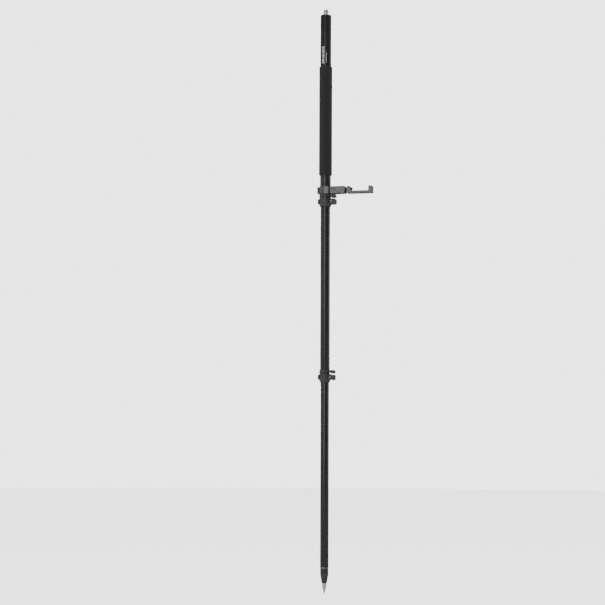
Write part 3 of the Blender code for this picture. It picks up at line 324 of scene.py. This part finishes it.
CARBON = carbon_surface()
for node, wall, body in (("upper_tube", UPPER_WALL, "upper_section"),
                         ("middle_tube", MIDDLE_WALL, "middle_section"),
                         ("lower_tube", LOWER_WALL, "lower_section")):
    low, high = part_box(node)
    pipe(node + "_laminate", high.x, high.x - wall, low.z, high.z, 0.25 * MM, CARBON, body,
         "carbon_tube", node)


# ---------------------------------------------------------------- foam grip
# A sleeve of closed-cell foam pushed over the upper tube with soap and water.  Its skin is ground,
# so it is evenly pitted, and its ends are cut square and have settled round.

FOAM_CELL = 1.3 * MM
FOAM_RELIEF = 0.12 * MM
FOAM_ROUND = 2.2 * MM
FOAM_ROW = 1.6 * MM


def foam_surface():
    made, tree, shader = surface("closed_cell_foam", (0.030, 0.031, 0.034), 0.88, Sheen_Weight=0.12,
                                 Sheen_Roughness=0.5)
    where = put(tree, "ShaderNodeTexCoord").outputs["Object"]
    cells = put(tree, "ShaderNodeTexVoronoi", {"Vector": where, "Scale": 1.0 / FOAM_CELL},
                feature="SMOOTH_F1").outputs["Distance"]
    cloud = grain(tree, 70.0, 5.0)
    fine = grain(tree, 1800.0, 2.0)
    # Painted shade: the colour darkens where the cell distance is large, down in the pits between cells; the
    # cloud noise adds a random tone of the foam's own.
    tone_and_painted_light = math_node(tree, "ADD", math_node(tree, "MULTIPLY", cells, 0.5),
                      math_node(tree, "MULTIPLY", cloud, 0.6))
    tree.links.new(tinted(tree, tone_and_painted_light, (0.038, 0.039, 0.043), (0.021, 0.022, 0.024)),
                   shader.inputs["Base Color"])
    tree.links.new(ranged(tree, fine, 0.78, 0.96), shader.inputs["Roughness"])
    pits = math_node(tree, "ADD", math_node(tree, "MULTIPLY", cells, -0.8),
                     math_node(tree, "MULTIPLY", fine, 0.4))
    bumped(tree, shader, pits, 0.6, 0.0004)
    return made


def make_grip():
    low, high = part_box("foam_grip")
    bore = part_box("upper_tube")[1].x + 0.15 * MM
    outer = high.x - FOAM_RELIEF

    def skin(angle, level):
        """The outer radius, with the ground surface's slight unevenness."""
        spot = Vector((outer * math.cos(angle), outer * math.sin(angle), level))
        return (outer + FOAM_RELIEF * noise.noise(spot * 420.0) * 0.7
                + FOAM_RELIEF * noise.noise(spot * 60.0) * 0.3)

    profile = [(bore, high.z - 0.6 * MM), (bore, low.z + 0.6 * MM), (bore + 0.6 * MM, low.z)]
    turns = 6
    for i in range(turns + 1):
        angle = math.pi / 2 * i / turns
        profile.append((outer - FOAM_ROUND * (1 - math.sin(angle)),
                        low.z + FOAM_ROUND * (1 - math.cos(angle))))
    rows = round((high.z - low.z - 2 * FOAM_ROUND) / FOAM_ROW)
    for i in range(1, rows):
        profile.append((skin, low.z + FOAM_ROUND + (high.z - low.z - 2 * FOAM_ROUND) * i / rows))
    for i in range(turns + 1):
        angle = math.pi / 2 * (1 - i / turns)
        profile.append((outer - FOAM_ROUND * (1 - math.sin(angle)),
                        high.z - FOAM_ROUND * (1 - math.cos(angle))))
    profile.append((bore + 0.6 * MM, high.z))
    sleeve = turned("foam_grip_sleeve", profile, 128, loop=True)
    grip = fitted(sleeve, "upper_section", "foam", foam_surface(),
                  "foam_grip")


make_grip()


# ---------------------------------------------------------------- point
# A turned steel point screwed into a black anodised holder, which has two spanner flats and is
# glued in the lower tube.  A polished ring closes the joint between holder and tube.

TURNING_PITCH = 0.35 * MM
HOLDER_EDGE = 0.25 * MM


def steel_surface(name, color, low, high, turned_marks):
    """Bare steel; turned_marks adds the lathe's fine rings round Z."""
    made, tree, shader = surface(name, color, (low + high) / 2, 1.0)
    where = put(tree, "ShaderNodeTexCoord").outputs["Object"]
    smear = grain(tree, 240.0, 4.0)
    fine = grain(tree, 2600.0, 2.0)
    height = fine
    if turned_marks:
        axes = put(tree, "ShaderNodeSeparateXYZ", {"Vector": where}).outputs
        rings = math_node(tree, "SINE", math_node(tree, "MULTIPLY", axes["Z"], math.tau / TURNING_PITCH))
        height = math_node(tree, "ADD", math_node(tree, "MULTIPLY", rings, 0.7), fine)
    darker = tuple(c * 0.80 for c in color)
    tree.links.new(tinted(tree, smear, darker, color), shader.inputs["Base Color"])
    tree.links.new(ranged(tree, smear, low, high), shader.inputs["Roughness"])
    bumped(tree, shader, height, 0.18, 0.00008)
    return made


def anodised_surface(name, color, metallic, low, high, worn_color):
    """Anodised aluminium over a fine blasted surface, rubbed bright on some of its edges."""
    made, tree, shader = surface(name, color, (low + high) / 2, metallic)
    cloud = grain(tree, 110.0, 4.0)
    fine = grain(tree, 3200.0, 2.0)
    lighter = tuple(c * 1.07 for c in color)
    darker = tuple(c * 0.93 for c in color)
    base = tinted(tree, cloud, darker, lighter)
    rubbed = put(tree, "ShaderNodeAttribute", attribute_name="edge").outputs["Fac"]
    patchy = put(tree, "ShaderNodeMapRange", {
        "Value": grain(tree, 380.0, 5.0, 0.7), "From Min": 0.50, "From Max": 0.68,
        "To Min": 0.12, "To Max": 1.0}).outputs["Result"]
    worn = math_node(tree, "MULTIPLY", rubbed, patchy)
    mixed = put(tree, "ShaderNodeMix", data_type="RGBA")
    tree.links.new(worn, mixed.inputs[0])
    tree.links.new(base, mixed.inputs[6])
    mixed.inputs[7].default_value = (*worn_color, 1.0)
    tree.links.new(mixed.outputs[2], shader.inputs["Base Color"])
    tree.links.new(ranged(tree, cloud, low, high), shader.inputs["Roughness"])
    bumped(tree, shader, fine, 0.12, 0.00005)
    return made


def softened(node, width=0.3 * MM, angle=30.0):
    """A welded copy of a frame node, with its hard edges rounded and marked in the attribute edge."""
    bm = bmesh.new()
    bm.from_mesh(frame["nodes"][node].data)
    for layer in list(bm.loops.layers.uv):
        bm.loops.layers.uv.remove(layer)
    bmesh.ops.remove_doubles(bm, verts=bm.verts, dist=0.003 * MM)
    bmesh.ops.dissolve_limit(bm, angle_limit=math.radians(0.6), verts=bm.verts, edges=bm.edges)
    layer = bm.faces.layers.float.new("edge")
    hard = [e for e in bm.edges if len(e.link_faces) == 2 and e.calc_face_angle(0.0) > math.radians(angle)]
    rounded = bmesh.ops.bevel(bm, geom=hard, offset=width, segments=2, profile=0.5, affect="EDGES",
                              clamp_overlap=True)
    for face in rounded["faces"]:
        face[layer] = 1.0
    piece = as_object(node + "_made", bm, 50.0)
    weighted = piece.modifiers.new("weighted", "WEIGHTED_NORMAL")
    weighted.keep_sharp = True
    depsgraph = bpy.context.evaluated_depsgraph_get()
    shaded = bpy.data.meshes.new_from_object(piece.evaluated_get(depsgraph))
    piece.modifiers.clear()
    piece.data = shaded
    return piece


def make_point():
    low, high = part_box("steel_tip")
    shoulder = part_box("point_holder")[0].z - 0.3 * MM
    radius = high.x
    shank = 3.0 * MM
    straight = shoulder - 10.0 * MM
    profile = [(0.10 * MM, low.z), (0.45 * MM, low.z + 0.35 * MM), (0.8 * MM, low.z + 0.9 * MM)]
    profile += [(0.8 * MM + (radius - 0.8 * MM) * t, 0.9 * MM + (straight - 0.9 * MM) * t)
                for t in (0.25, 0.5, 0.75, 1.0)]
    profile += [(radius, shoulder - 0.4 * MM), (radius - 0.4 * MM, shoulder), (shank, shoulder),
                (shank, high.z)]
    fitted(turned("steel_point", profile, 64), "lower_section", "steel", BRIGHT_STEEL, "steel_tip")
    low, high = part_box("point_ring")
    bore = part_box("lower_tube")[1].x - LOWER_WALL
    fitted(turned("polished_ring", [(high.x, low.z), (high.x, high.z), (bore, high.z), (bore, low.z)], 96,
                  loop=True, edge=0.3 * MM), "lower_section", "steel", BRIGHT_STEEL, "point_ring")
    fitted(softened("point_holder", HOLDER_EDGE), "lower_section", "black_anodised", BLACK_ANODISED,
           "point_holder")


BRIGHT_STEEL = steel_surface("turned_steel", (0.82, 0.82, 0.83), 0.22, 0.40, True)
BLACK_ANODISED = anodised_surface("black_anodised_aluminium", (0.062, 0.062, 0.066), 0.60, 0.26, 0.40,
                                  (0.30, 0.30, 0.31))
make_point()


# ---------------------------------------------------------------- top
# An anodised plug glued in the upper tube, with a 5/8-11 stud screwed into it for an antenna.
# The stud's thread is cut to a flat-topped 60 degree form, and its first turn is chamfered.

THREAD_PITCH = 25.4 / 11 * MM
THREAD_DEPTH = 1.15 * MM
THREAD_ROWS = 12             # rows of the mesh for each turn


def make_top():
    low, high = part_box("antenna_stud")
    plug_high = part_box("top_plug")[1]
    crest = high.x - 1.7 * MM
    seat = plug_high.z
    lead = 1.2 * MM

    def thread(angle, level):
        """The thread's radius at an angle and a level, chamfered at the stud's end."""
        phase = (level / THREAD_PITCH - angle / math.tau) % 1.0
        tooth = min(1.0, max(0.0, (abs(phase - 0.5) * 2 - 0.12) / 0.76))
        return min(crest - THREAD_DEPTH * tooth, crest - max(0.0, level - high.z + lead))

    collar_top = seat + 1.9 * MM
    rows = round((high.z - collar_top) / THREAD_PITCH * THREAD_ROWS)
    profile = [(crest - THREAD_DEPTH, low.z), (crest - THREAD_DEPTH, seat + 0.3 * MM),
               (9.3 * MM, seat + 0.3 * MM),
               (9.6 * MM, seat + 0.6 * MM), (9.6 * MM, collar_top - 0.3 * MM), (9.3 * MM, collar_top)]
    profile += [(thread, collar_top + (high.z - collar_top) * i / rows) for i in range(rows + 1)]
    profile += [(2.2 * MM, high.z), (1.9 * MM, high.z - 0.5 * MM), (0.15 * MM, high.z - 1.6 * MM)]
    fitted(turned("threaded_stud", profile, 96), "upper_section", "steel", BRIGHT_STEEL, "antenna_stud")
    fitted(softened("top_plug", 0.25 * MM), "upper_section", "black_anodised", BLACK_ANODISED, "top_plug")


make_top()


# ---------------------------------------------------------------- print
# A column of plain white bars and a thin rule, screen printed on the upper tube below its top.

PRINT_TOP = 102.0 * MM       # below the top of the plug
PRINT_LENGTH = 54.0 * MM
PRINT_TURN = math.radians(-104.0)
PRINT_STAND = 0.04 * MM
PRINT_BARS = ((0.00, 0.10), (0.13, 0.19), (0.22, 0.36), (0.39, 0.45), (0.48, 0.62), (0.65, 0.71),
              (0.74, 0.90), (0.93, 1.00))
BAR_TURNS = (-16, 10)        # degrees from PRINT_TURN to the two ends of a bar
RULE_TURNS = (28, 34)
RULE_REACH = (0.35, 0.96)    # shares of PRINT_LENGTH, downwards


def print_patch(bm, radius, low, high, start, end, steps=10):
    """A thin closed patch of ink on the tube, between two levels and two angles."""
    shell = []
    for reach in (radius - PRINT_STAND, radius + PRINT_STAND):
        shell.append([[bm.verts.new((reach * math.cos(a), reach * math.sin(a), z)) for z in (low, high)]
                      for a in (start + (end - start) * i / steps for i in range(steps + 1))])
    inner, outer = shell
    for i in range(steps):
        bm.faces.new((outer[i][0], outer[i + 1][0], outer[i + 1][1], outer[i][1]))
        bm.faces.new((inner[i][1], inner[i + 1][1], inner[i + 1][0], inner[i][0]))
        for k in (0, 1):
            bm.faces.new((outer[i][k], outer[i + 1][k], inner[i + 1][k], inner[i][k]))
    for i in (0, steps):
        bm.faces.new((inner[i][0], inner[i][1], outer[i][1], outer[i][0]))


def ink_surface():
    made, tree, shader = surface("white_ink", (0.72, 0.72, 0.72), 0.5)
    flecks = grain(tree, 1400.0, 4.0, 0.7)
    tree.links.new(tinted(tree, flecks, (0.58, 0.58, 0.58), (0.82, 0.82, 0.82)), shader.inputs["Base Color"])
    bumped(tree, shader, flecks, 0.2, 0.00005)
    return made


def make_print():
    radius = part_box("upper_tube")[1].x
    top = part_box("top_plug")[1].z - PRINT_TOP
    bm = bmesh.new()
    for first, last in PRINT_BARS:
        print_patch(bm, radius, top - PRINT_LENGTH * last, top - PRINT_LENGTH * first,
                    *(PRINT_TURN + math.radians(turn) for turn in BAR_TURNS))
    first, last = RULE_REACH
    print_patch(bm, radius, top - PRINT_LENGTH * last, top - PRINT_LENGTH * first,
                *(PRINT_TURN + math.radians(turn) for turn in RULE_TURNS))
    bmesh.ops.recalc_face_normals(bm, faces=bm.faces)
    fitted(as_object("printed_bars", bm), "upper_section", "carbon_tube", ink_surface())


make_print()


# ---------------------------------------------------------------- clamps
# Each clamp is one moulding of glass-filled nylon: its upper ring is pinched onto the outer tube by
# a small screw through the upper ears, and its lower ring is closed by the cam lever's tie bolt.

MOULD_EDGE = 0.45 * MM
WASHER_RADIUS = 5.0 * MM
WASHER_BORE = 2.7 * MM


def moulded_surface(name, color, scuffed):
    """Glass-filled nylon from a spark-eroded mould: an even fine grain, scuffed along its edges."""
    made, tree, shader = surface(name, color, 0.52)
    cloud = grain(tree, 60.0, 3.0)
    fine = grain(tree, 1500.0, 3.0, 0.6)
    rubbed = put(tree, "ShaderNodeAttribute", attribute_name="edge").outputs["Fac"]
    scuffs = math_node(tree, "MULTIPLY", rubbed, put(
        tree, "ShaderNodeMapRange", {"Value": grain(tree, 300.0, 5.0, 0.7), "From Min": 0.45, "From Max": 0.7,
                                     "To Min": 0.1, "To Max": 1.0}).outputs["Result"])
    base = tinted(tree, cloud, tuple(c * 0.88 for c in color), tuple(c * 1.12 for c in color))
    mixed = put(tree, "ShaderNodeMix", data_type="RGBA")
    tree.links.new(scuffs, mixed.inputs[0])
    tree.links.new(base, mixed.inputs[6])
    mixed.inputs[7].default_value = (*scuffed, 1.0)
    tree.links.new(mixed.outputs[2], shader.inputs["Base Color"])
    tree.links.new(ranged(tree, fine, 0.44, 0.60), shader.inputs["Roughness"])
    bumped(tree, shader, fine, 0.35, 0.00012)
    return made


def along_axis(node, axis):
    """For a node that lies along an axis: where to put a piece made round Z from level 0, and its length."""
    low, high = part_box(node)
    center = (low + high) / 2
    index = "XYZ".index(axis)
    start = center.copy()
    start[index] = low[index]
    toward = Vector([float(i == index) for i in range(3)])
    place = Matrix.Translation(start) @ toward.to_track_quat("Z", "Y").to_matrix().to_4x4()
    return place, high[index] - low[index]


MOULDED = moulded_surface("moulded_nylon", (0.062, 0.063, 0.067), (0.11, 0.11, 0.115))
ZINC_STEEL = steel_surface("plated_steel", (0.42, 0.42, 0.43), 0.22, 0.42, False)
BLACK_STEEL = steel_surface("black_oxide_steel", (0.105, 0.105, 0.11), 0.30, 0.46, False)


def hex_nut(name, node, bore, body):
    """A chamfered nut along Y, with its bore."""
    place, length = along_axis(node, "Y")
    low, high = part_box(node)
    corner = (high.z - low.z) / 2
    flat = corner * math.cos(math.pi / 6)
    profile = [(bore, 0.0), (flat * 0.97, 0.0), (corner, 0.12 * length, 6), (corner, 0.88 * length, 6),
               (flat * 0.97, length), (bore, length)]
    fitted(turned(name, profile, 48, place @ Matrix.Rotation(math.pi / 6, 4, "Z"), loop=True), body,
           "black_steel", BLACK_STEEL, node)


def cap_screw(name, node, head_length, head_radius, shank_radius, body, axis="Y", head_first=False):
    """A socket-head screw with a hexagon recess, its head at the axis's far end unless it is first."""
    place, length = along_axis(node, axis)
    if head_first:
        place = place @ Matrix.Translation((0, 0, length)) @ Matrix.Rotation(math.pi, 4, "X")
    key = head_radius * 0.52
    face = length - head_length
    profile = [(shank_radius - 0.3 * MM, 0.0), (shank_radius, 0.4 * MM), (shank_radius, face),
               (head_radius, face), (head_radius, length - 0.35 * MM), (head_radius - 0.35 * MM, length),
               (key * 1.12, length), (key, length - 0.2 * MM, 6), (key, length - head_length * 0.6, 6),
               (0.1 * MM, length - head_length * 0.72, 6)]
    fitted(turned(name, profile, 48, place), body, "black_steel", BLACK_STEEL, node)


def make_clamp(which, body):
    fitted(softened(which + "_clamp_collar", MOULD_EDGE), body, "clamp_plastic", MOULDED,
           which + "_clamp_collar")
    cap_screw(which + "_pinch_screw", which + "_fixing_screw", 4.0 * MM, 3.5 * MM, 2.0 * MM, body,
              head_first=True)
    hex_nut(which + "_pinch_nut", which + "_fixing_nut", 2.15 * MM, body)
    hex_nut(which + "_bolt_nut", which + "_tie_nut", 2.6 * MM, body)
    place, length = along_axis(which + "_tie_washer", "Y")
    profile = [(WASHER_RADIUS, 0.0), (WASHER_RADIUS, length), (WASHER_BORE, length), (WASHER_BORE, 0.0)]
    fitted(turned(which + "_bolt_washer", profile, 48, place, loop=True, edge=0.15 * MM), body,
           "black_steel", BLACK_STEEL, which + "_tie_washer")
    fitted(softened(which + "_tie_bolt", 0.2 * MM), body, "black_steel", BLACK_STEEL, which + "_tie_bolt")


make_clamp("lower", "middle_section")
make_clamp("upper", "upper_section")


# ---------------------------------------------------------------- cam levers
# A curved moulded lever turns about a steel pin through the tie bolt's eye.  Five ribs near its
# tip give a finger something to pull on.

RIB_COUNT = 5
RIB_PITCH = math.radians(4.6)
RIB_START = math.radians(166.0)
RIB_RADIUS = 0.55 * MM


def rib_tree():
    """Geometry nodes: short rounded bars, upright, at equal angles on an arc."""
    tree = bpy.data.node_groups.new("finger_ribs", "GeometryNodeTree")
    face = tree.interface
    for name, kind in (("Count", "NodeSocketInt"), ("Arc Radius", "NodeSocketFloat"),
                       ("Start", "NodeSocketFloat"), ("Pitch", "NodeSocketFloat"),
                       ("Rib Radius", "NodeSocketFloat"), ("Rib Length", "NodeSocketFloat"),
                       ("Centre", "NodeSocketVector"), ("Finish", "NodeSocketMaterial")):
        face.new_socket(name, in_out="INPUT", socket_type=kind)
    face.new_socket("Geometry", in_out="OUTPUT", socket_type="NodeSocketGeometry")
    given = tree.nodes.new("NodeGroupInput").outputs
    points = put(tree, "GeometryNodePoints", {"Count": given["Count"]})
    index = put(tree, "GeometryNodeInputIndex").outputs[0]
    angle = math_node(tree, "ADD", math_node(tree, "MULTIPLY", index, given["Pitch"]), given["Start"])
    across = math_node(tree, "MULTIPLY", math_node(tree, "COSINE", angle), given["Arc Radius"])
    along = math_node(tree, "MULTIPLY", math_node(tree, "SINE", angle), given["Arc Radius"])
    spot = put(tree, "ShaderNodeCombineXYZ", {"X": across, "Y": along}).outputs[0]
    moved = put(tree, "ShaderNodeVectorMath", {0: spot, 1: given["Centre"]}, operation="ADD").outputs[0]
    set_points = put(tree, "GeometryNodeSetPosition", {"Geometry": points.outputs[0], "Position": moved})
    bar = put(tree, "GeometryNodeMeshCylinder", {"Vertices": 16, "Side Segments": 1,
                                                 "Radius": given["Rib Radius"],
                                                 "Depth": given["Rib Length"]})
    cap = put(tree, "GeometryNodeMeshUVSphere", {"Segments": 16, "Rings": 8, "Radius": given["Rib Radius"]})
    half = math_node(tree, "MULTIPLY", given["Rib Length"], 0.5)
    ends = []
    for side in (1.0, -1.0):
        level = math_node(tree, "MULTIPLY", half, side)
        shift = put(tree, "ShaderNodeCombineXYZ", {"Z": level}).outputs[0]
        ends.append(put(tree, "GeometryNodeTransform",
                        {"Geometry": cap.outputs["Mesh"], "Translation": shift}))
    joined = tree.nodes.new("GeometryNodeJoinGeometry")
    for source in (bar.outputs["Mesh"], ends[0].outputs[0], ends[1].outputs[0]):
        tree.links.new(source, joined.inputs[0])
    placed = put(tree, "GeometryNodeInstanceOnPoints", {"Points": set_points.outputs[0],
                                                        "Instance": joined.outputs[0]})
    solid = put(tree, "GeometryNodeRealizeInstances", {"Geometry": placed.outputs[0]})
    coated = put(tree, "GeometryNodeSetMaterial", {"Geometry": solid.outputs[0], "Material": given["Finish"]})
    put(tree, "NodeGroupOutput", {"Geometry": coated.outputs[0]})
    return tree


def grown(name, tree, **values):
    """Run a geometry tree on an empty mesh with named inputs, and keep its result as a plain mesh."""
    piece = bpy.data.objects.new(name, bpy.data.meshes.new(name))
    bpy.context.scene.collection.objects.link(piece)
    grower = piece.modifiers.new("grower", "NODES")
    grower.node_group = tree
    for item in tree.interface.items_tree:
        key = item.name.replace(" ", "_")
        if item.in_out == "INPUT" and key in values:
            grower[item.identifier] = values[key]
    bpy.context.view_layer.update()
    depsgraph = bpy.context.evaluated_depsgraph_get()
    made = bpy.data.meshes.new_from_object(piece.evaluated_get(depsgraph))
    piece.modifiers.clear()
    piece.data = made
    made.shade_smooth()
    made.set_sharp_from_angle(angle=math.radians(50))
    return piece


RIBS = rib_tree()
for which in ("lower", "upper"):
    body = which + "_lever"
    lever = which + "_clamp_lever"
    fitted(softened(lever, MOULD_EDGE), body, "clamp_plastic", MOULDED, lever)
    fitted(softened(which + "_cam_pin", 0.3 * MM), body, "steel", ZINC_STEEL, which + "_cam_pin")
    low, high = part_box(lever)
    outer = -low.x
    ribs = grown(which + "_lever_ribs", RIBS, Count=RIB_COUNT, Arc_Radius=outer - 0.25 * MM, Start=RIB_START,
                 Pitch=RIB_PITCH, Rib_Radius=RIB_RADIUS, Rib_Length=(high.z - low.z) * 0.6,
                 Centre=(0.0, 0.0, (low.z + high.z) / 2), Finish=MOULDED)
    fitted(ribs, body, "clamp_plastic", MOULDED)


# ---------------------------------------------------------------- bracket
# A hinged collar of grey anodised aluminium grips the upper tube; a knob behind the forked arm
# presses a nylon pad on the tube.  The arm carries a cradle with a fixed and a sprung jaw.

MACHINED_EDGE = 0.35 * MM
GREY_ANODISED = anodised_surface("grey_anodised_aluminium", (0.118, 0.120, 0.125), 0.45, 0.34, 0.50,
                                 (0.20, 0.20, 0.21))


def rubber_surface():
    made, tree, shader = surface("moulded_rubber", (0.016, 0.016, 0.017), 0.75)
    fine = grain(tree, 1200.0, 4.0, 0.6)
    tree.links.new(tinted(tree, fine, (0.012, 0.012, 0.013), (0.026, 0.026, 0.028)),
                   shader.inputs["Base Color"])
    tree.links.new(ranged(tree, fine, 0.62, 0.86), shader.inputs["Roughness"])
    bumped(tree, shader, fine, 0.4, 0.00015)
    return made


RUBBER = rubber_surface()
for node, body in (("bracket_body", "upper_section"), ("bracket_jaw", "collar_jaw"), ("arm_fork", "arm"),
                   ("cradle", "arm"), ("outer_jaw", "phone_jaw")):
    fitted(softened(node, MACHINED_EDGE), body, "grey_anodised", GREY_ANODISED, node)
for node, body in (("neck_spacer", "arm"), ("inner_jaw_pad", "arm"), ("outer_jaw_pad", "phone_jaw")):
    fitted(softened(node, 0.25 * MM), body, "rubber", RUBBER, node)
for node in ("pivot_bush_front", "pivot_bush_rear"):
    fitted(softened(node, 0.2 * MM), "arm", "grey_anodised", GREY_ANODISED, node)
fitted(softened("clamp_knob", 0.5 * MM), "knob", "clamp_plastic", MOULDED, "clamp_knob")
for node, body in (("clamp_screw", "knob"), ("hinge_pin", "upper_section"), ("cradle_screw", "arm"),
                   ("guide_rod_front", "phone_jaw"), ("guide_rod_rear", "phone_jaw")):
    fitted(softened(node, 0.2 * MM), body, "steel", ZINC_STEEL, node)
fitted(softened("latch_screw", 0.2 * MM), "collar_jaw", "black_steel", BLACK_STEEL, "latch_screw")
cap_screw("front_pivot_screw", "pivot_screw_front", 0.9 * MM, 3.3 * MM, 2.5 * MM, "upper_section",
          head_first=True)
cap_screw("rear_pivot_screw", "pivot_screw_rear", 0.9 * MM, 3.3 * MM, 2.5 * MM, "upper_section")


# ---------------------------------------------------------------- jaw spring
# A coil of spring wire between the guide rods pulls the outer jaw in.

SPRING_TURNS = 22
SPRING_WIRE = 0.32 * MM


def coil_tree():
    """Geometry nodes: a round wire swept along a spiral, laid along X."""
    tree = bpy.data.node_groups.new("coil", "GeometryNodeTree")
    face = tree.interface
    for name, kind in (("Turns", "NodeSocketFloat"), ("Coil Radius", "NodeSocketFloat"),
                       ("Length", "NodeSocketFloat"), ("Wire Radius", "NodeSocketFloat"),
                       ("Start", "NodeSocketVector"), ("Finish", "NodeSocketMaterial")):
        face.new_socket(name, in_out="INPUT", socket_type=kind)
    face.new_socket("Geometry", in_out="OUTPUT", socket_type="NodeSocketGeometry")
    given = tree.nodes.new("NodeGroupInput").outputs
    spiral = put(tree, "GeometryNodeCurveSpiral", {"Resolution": 20, "Rotations": given["Turns"],
                                                   "Start Radius": given["Coil Radius"],
                                                   "End Radius": given["Coil Radius"],
                                                   "Height": given["Length"]})
    wire = put(tree, "GeometryNodeCurvePrimitiveCircle", {"Resolution": 8, "Radius": given["Wire Radius"]})
    swept = put(tree, "GeometryNodeCurveToMesh", {"Curve": spiral.outputs[0],
                                                  "Profile Curve": wire.outputs[0], "Fill Caps": True})
    laid = put(tree, "GeometryNodeTransform", {"Geometry": swept.outputs[0], "Translation": given["Start"],
                                               "Rotation": (0.0, math.pi / 2, 0.0)})
    solid = put(tree, "GeometryNodeRealizeInstances", {"Geometry": laid.outputs[0]})
    coated = put(tree, "GeometryNodeSetMaterial", {"Geometry": solid.outputs[0], "Material": given["Finish"]})
    put(tree, "NodeGroupOutput", {"Geometry": coated.outputs[0]})
    return tree


low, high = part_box("jaw_spring")
coil = grown("spring_coil", coil_tree(), Turns=float(SPRING_TURNS),
             Coil_Radius=(high.z - low.z) / 2 - SPRING_WIRE, Length=high.x - low.x - 2 * SPRING_WIRE,
             Wire_Radius=SPRING_WIRE,
             Start=(low.x + SPRING_WIRE, 0.0, (low.z + high.z) / 2), Finish=ZINC_STEEL)
fitted(coil, "arm", "steel", ZINC_STEEL, "jaw_spring")


# ---------------------------------------------------------------- inner pieces
# Liners, guide sleeves and the pressure pad stay as the frame has them, in unfilled nylon.

NYLON = moulded_surface("plain_nylon", (0.030, 0.030, 0.032), (0.05, 0.05, 0.05))
for node in ("lower_clamp_liner", "upper_clamp_liner", "lower_guide_sleeve", "middle_guide_sleeve",
             "pressure_pad"):
    slots = frame["nodes"][node].data.materials
    slots.clear()
    slots.append(NYLON)
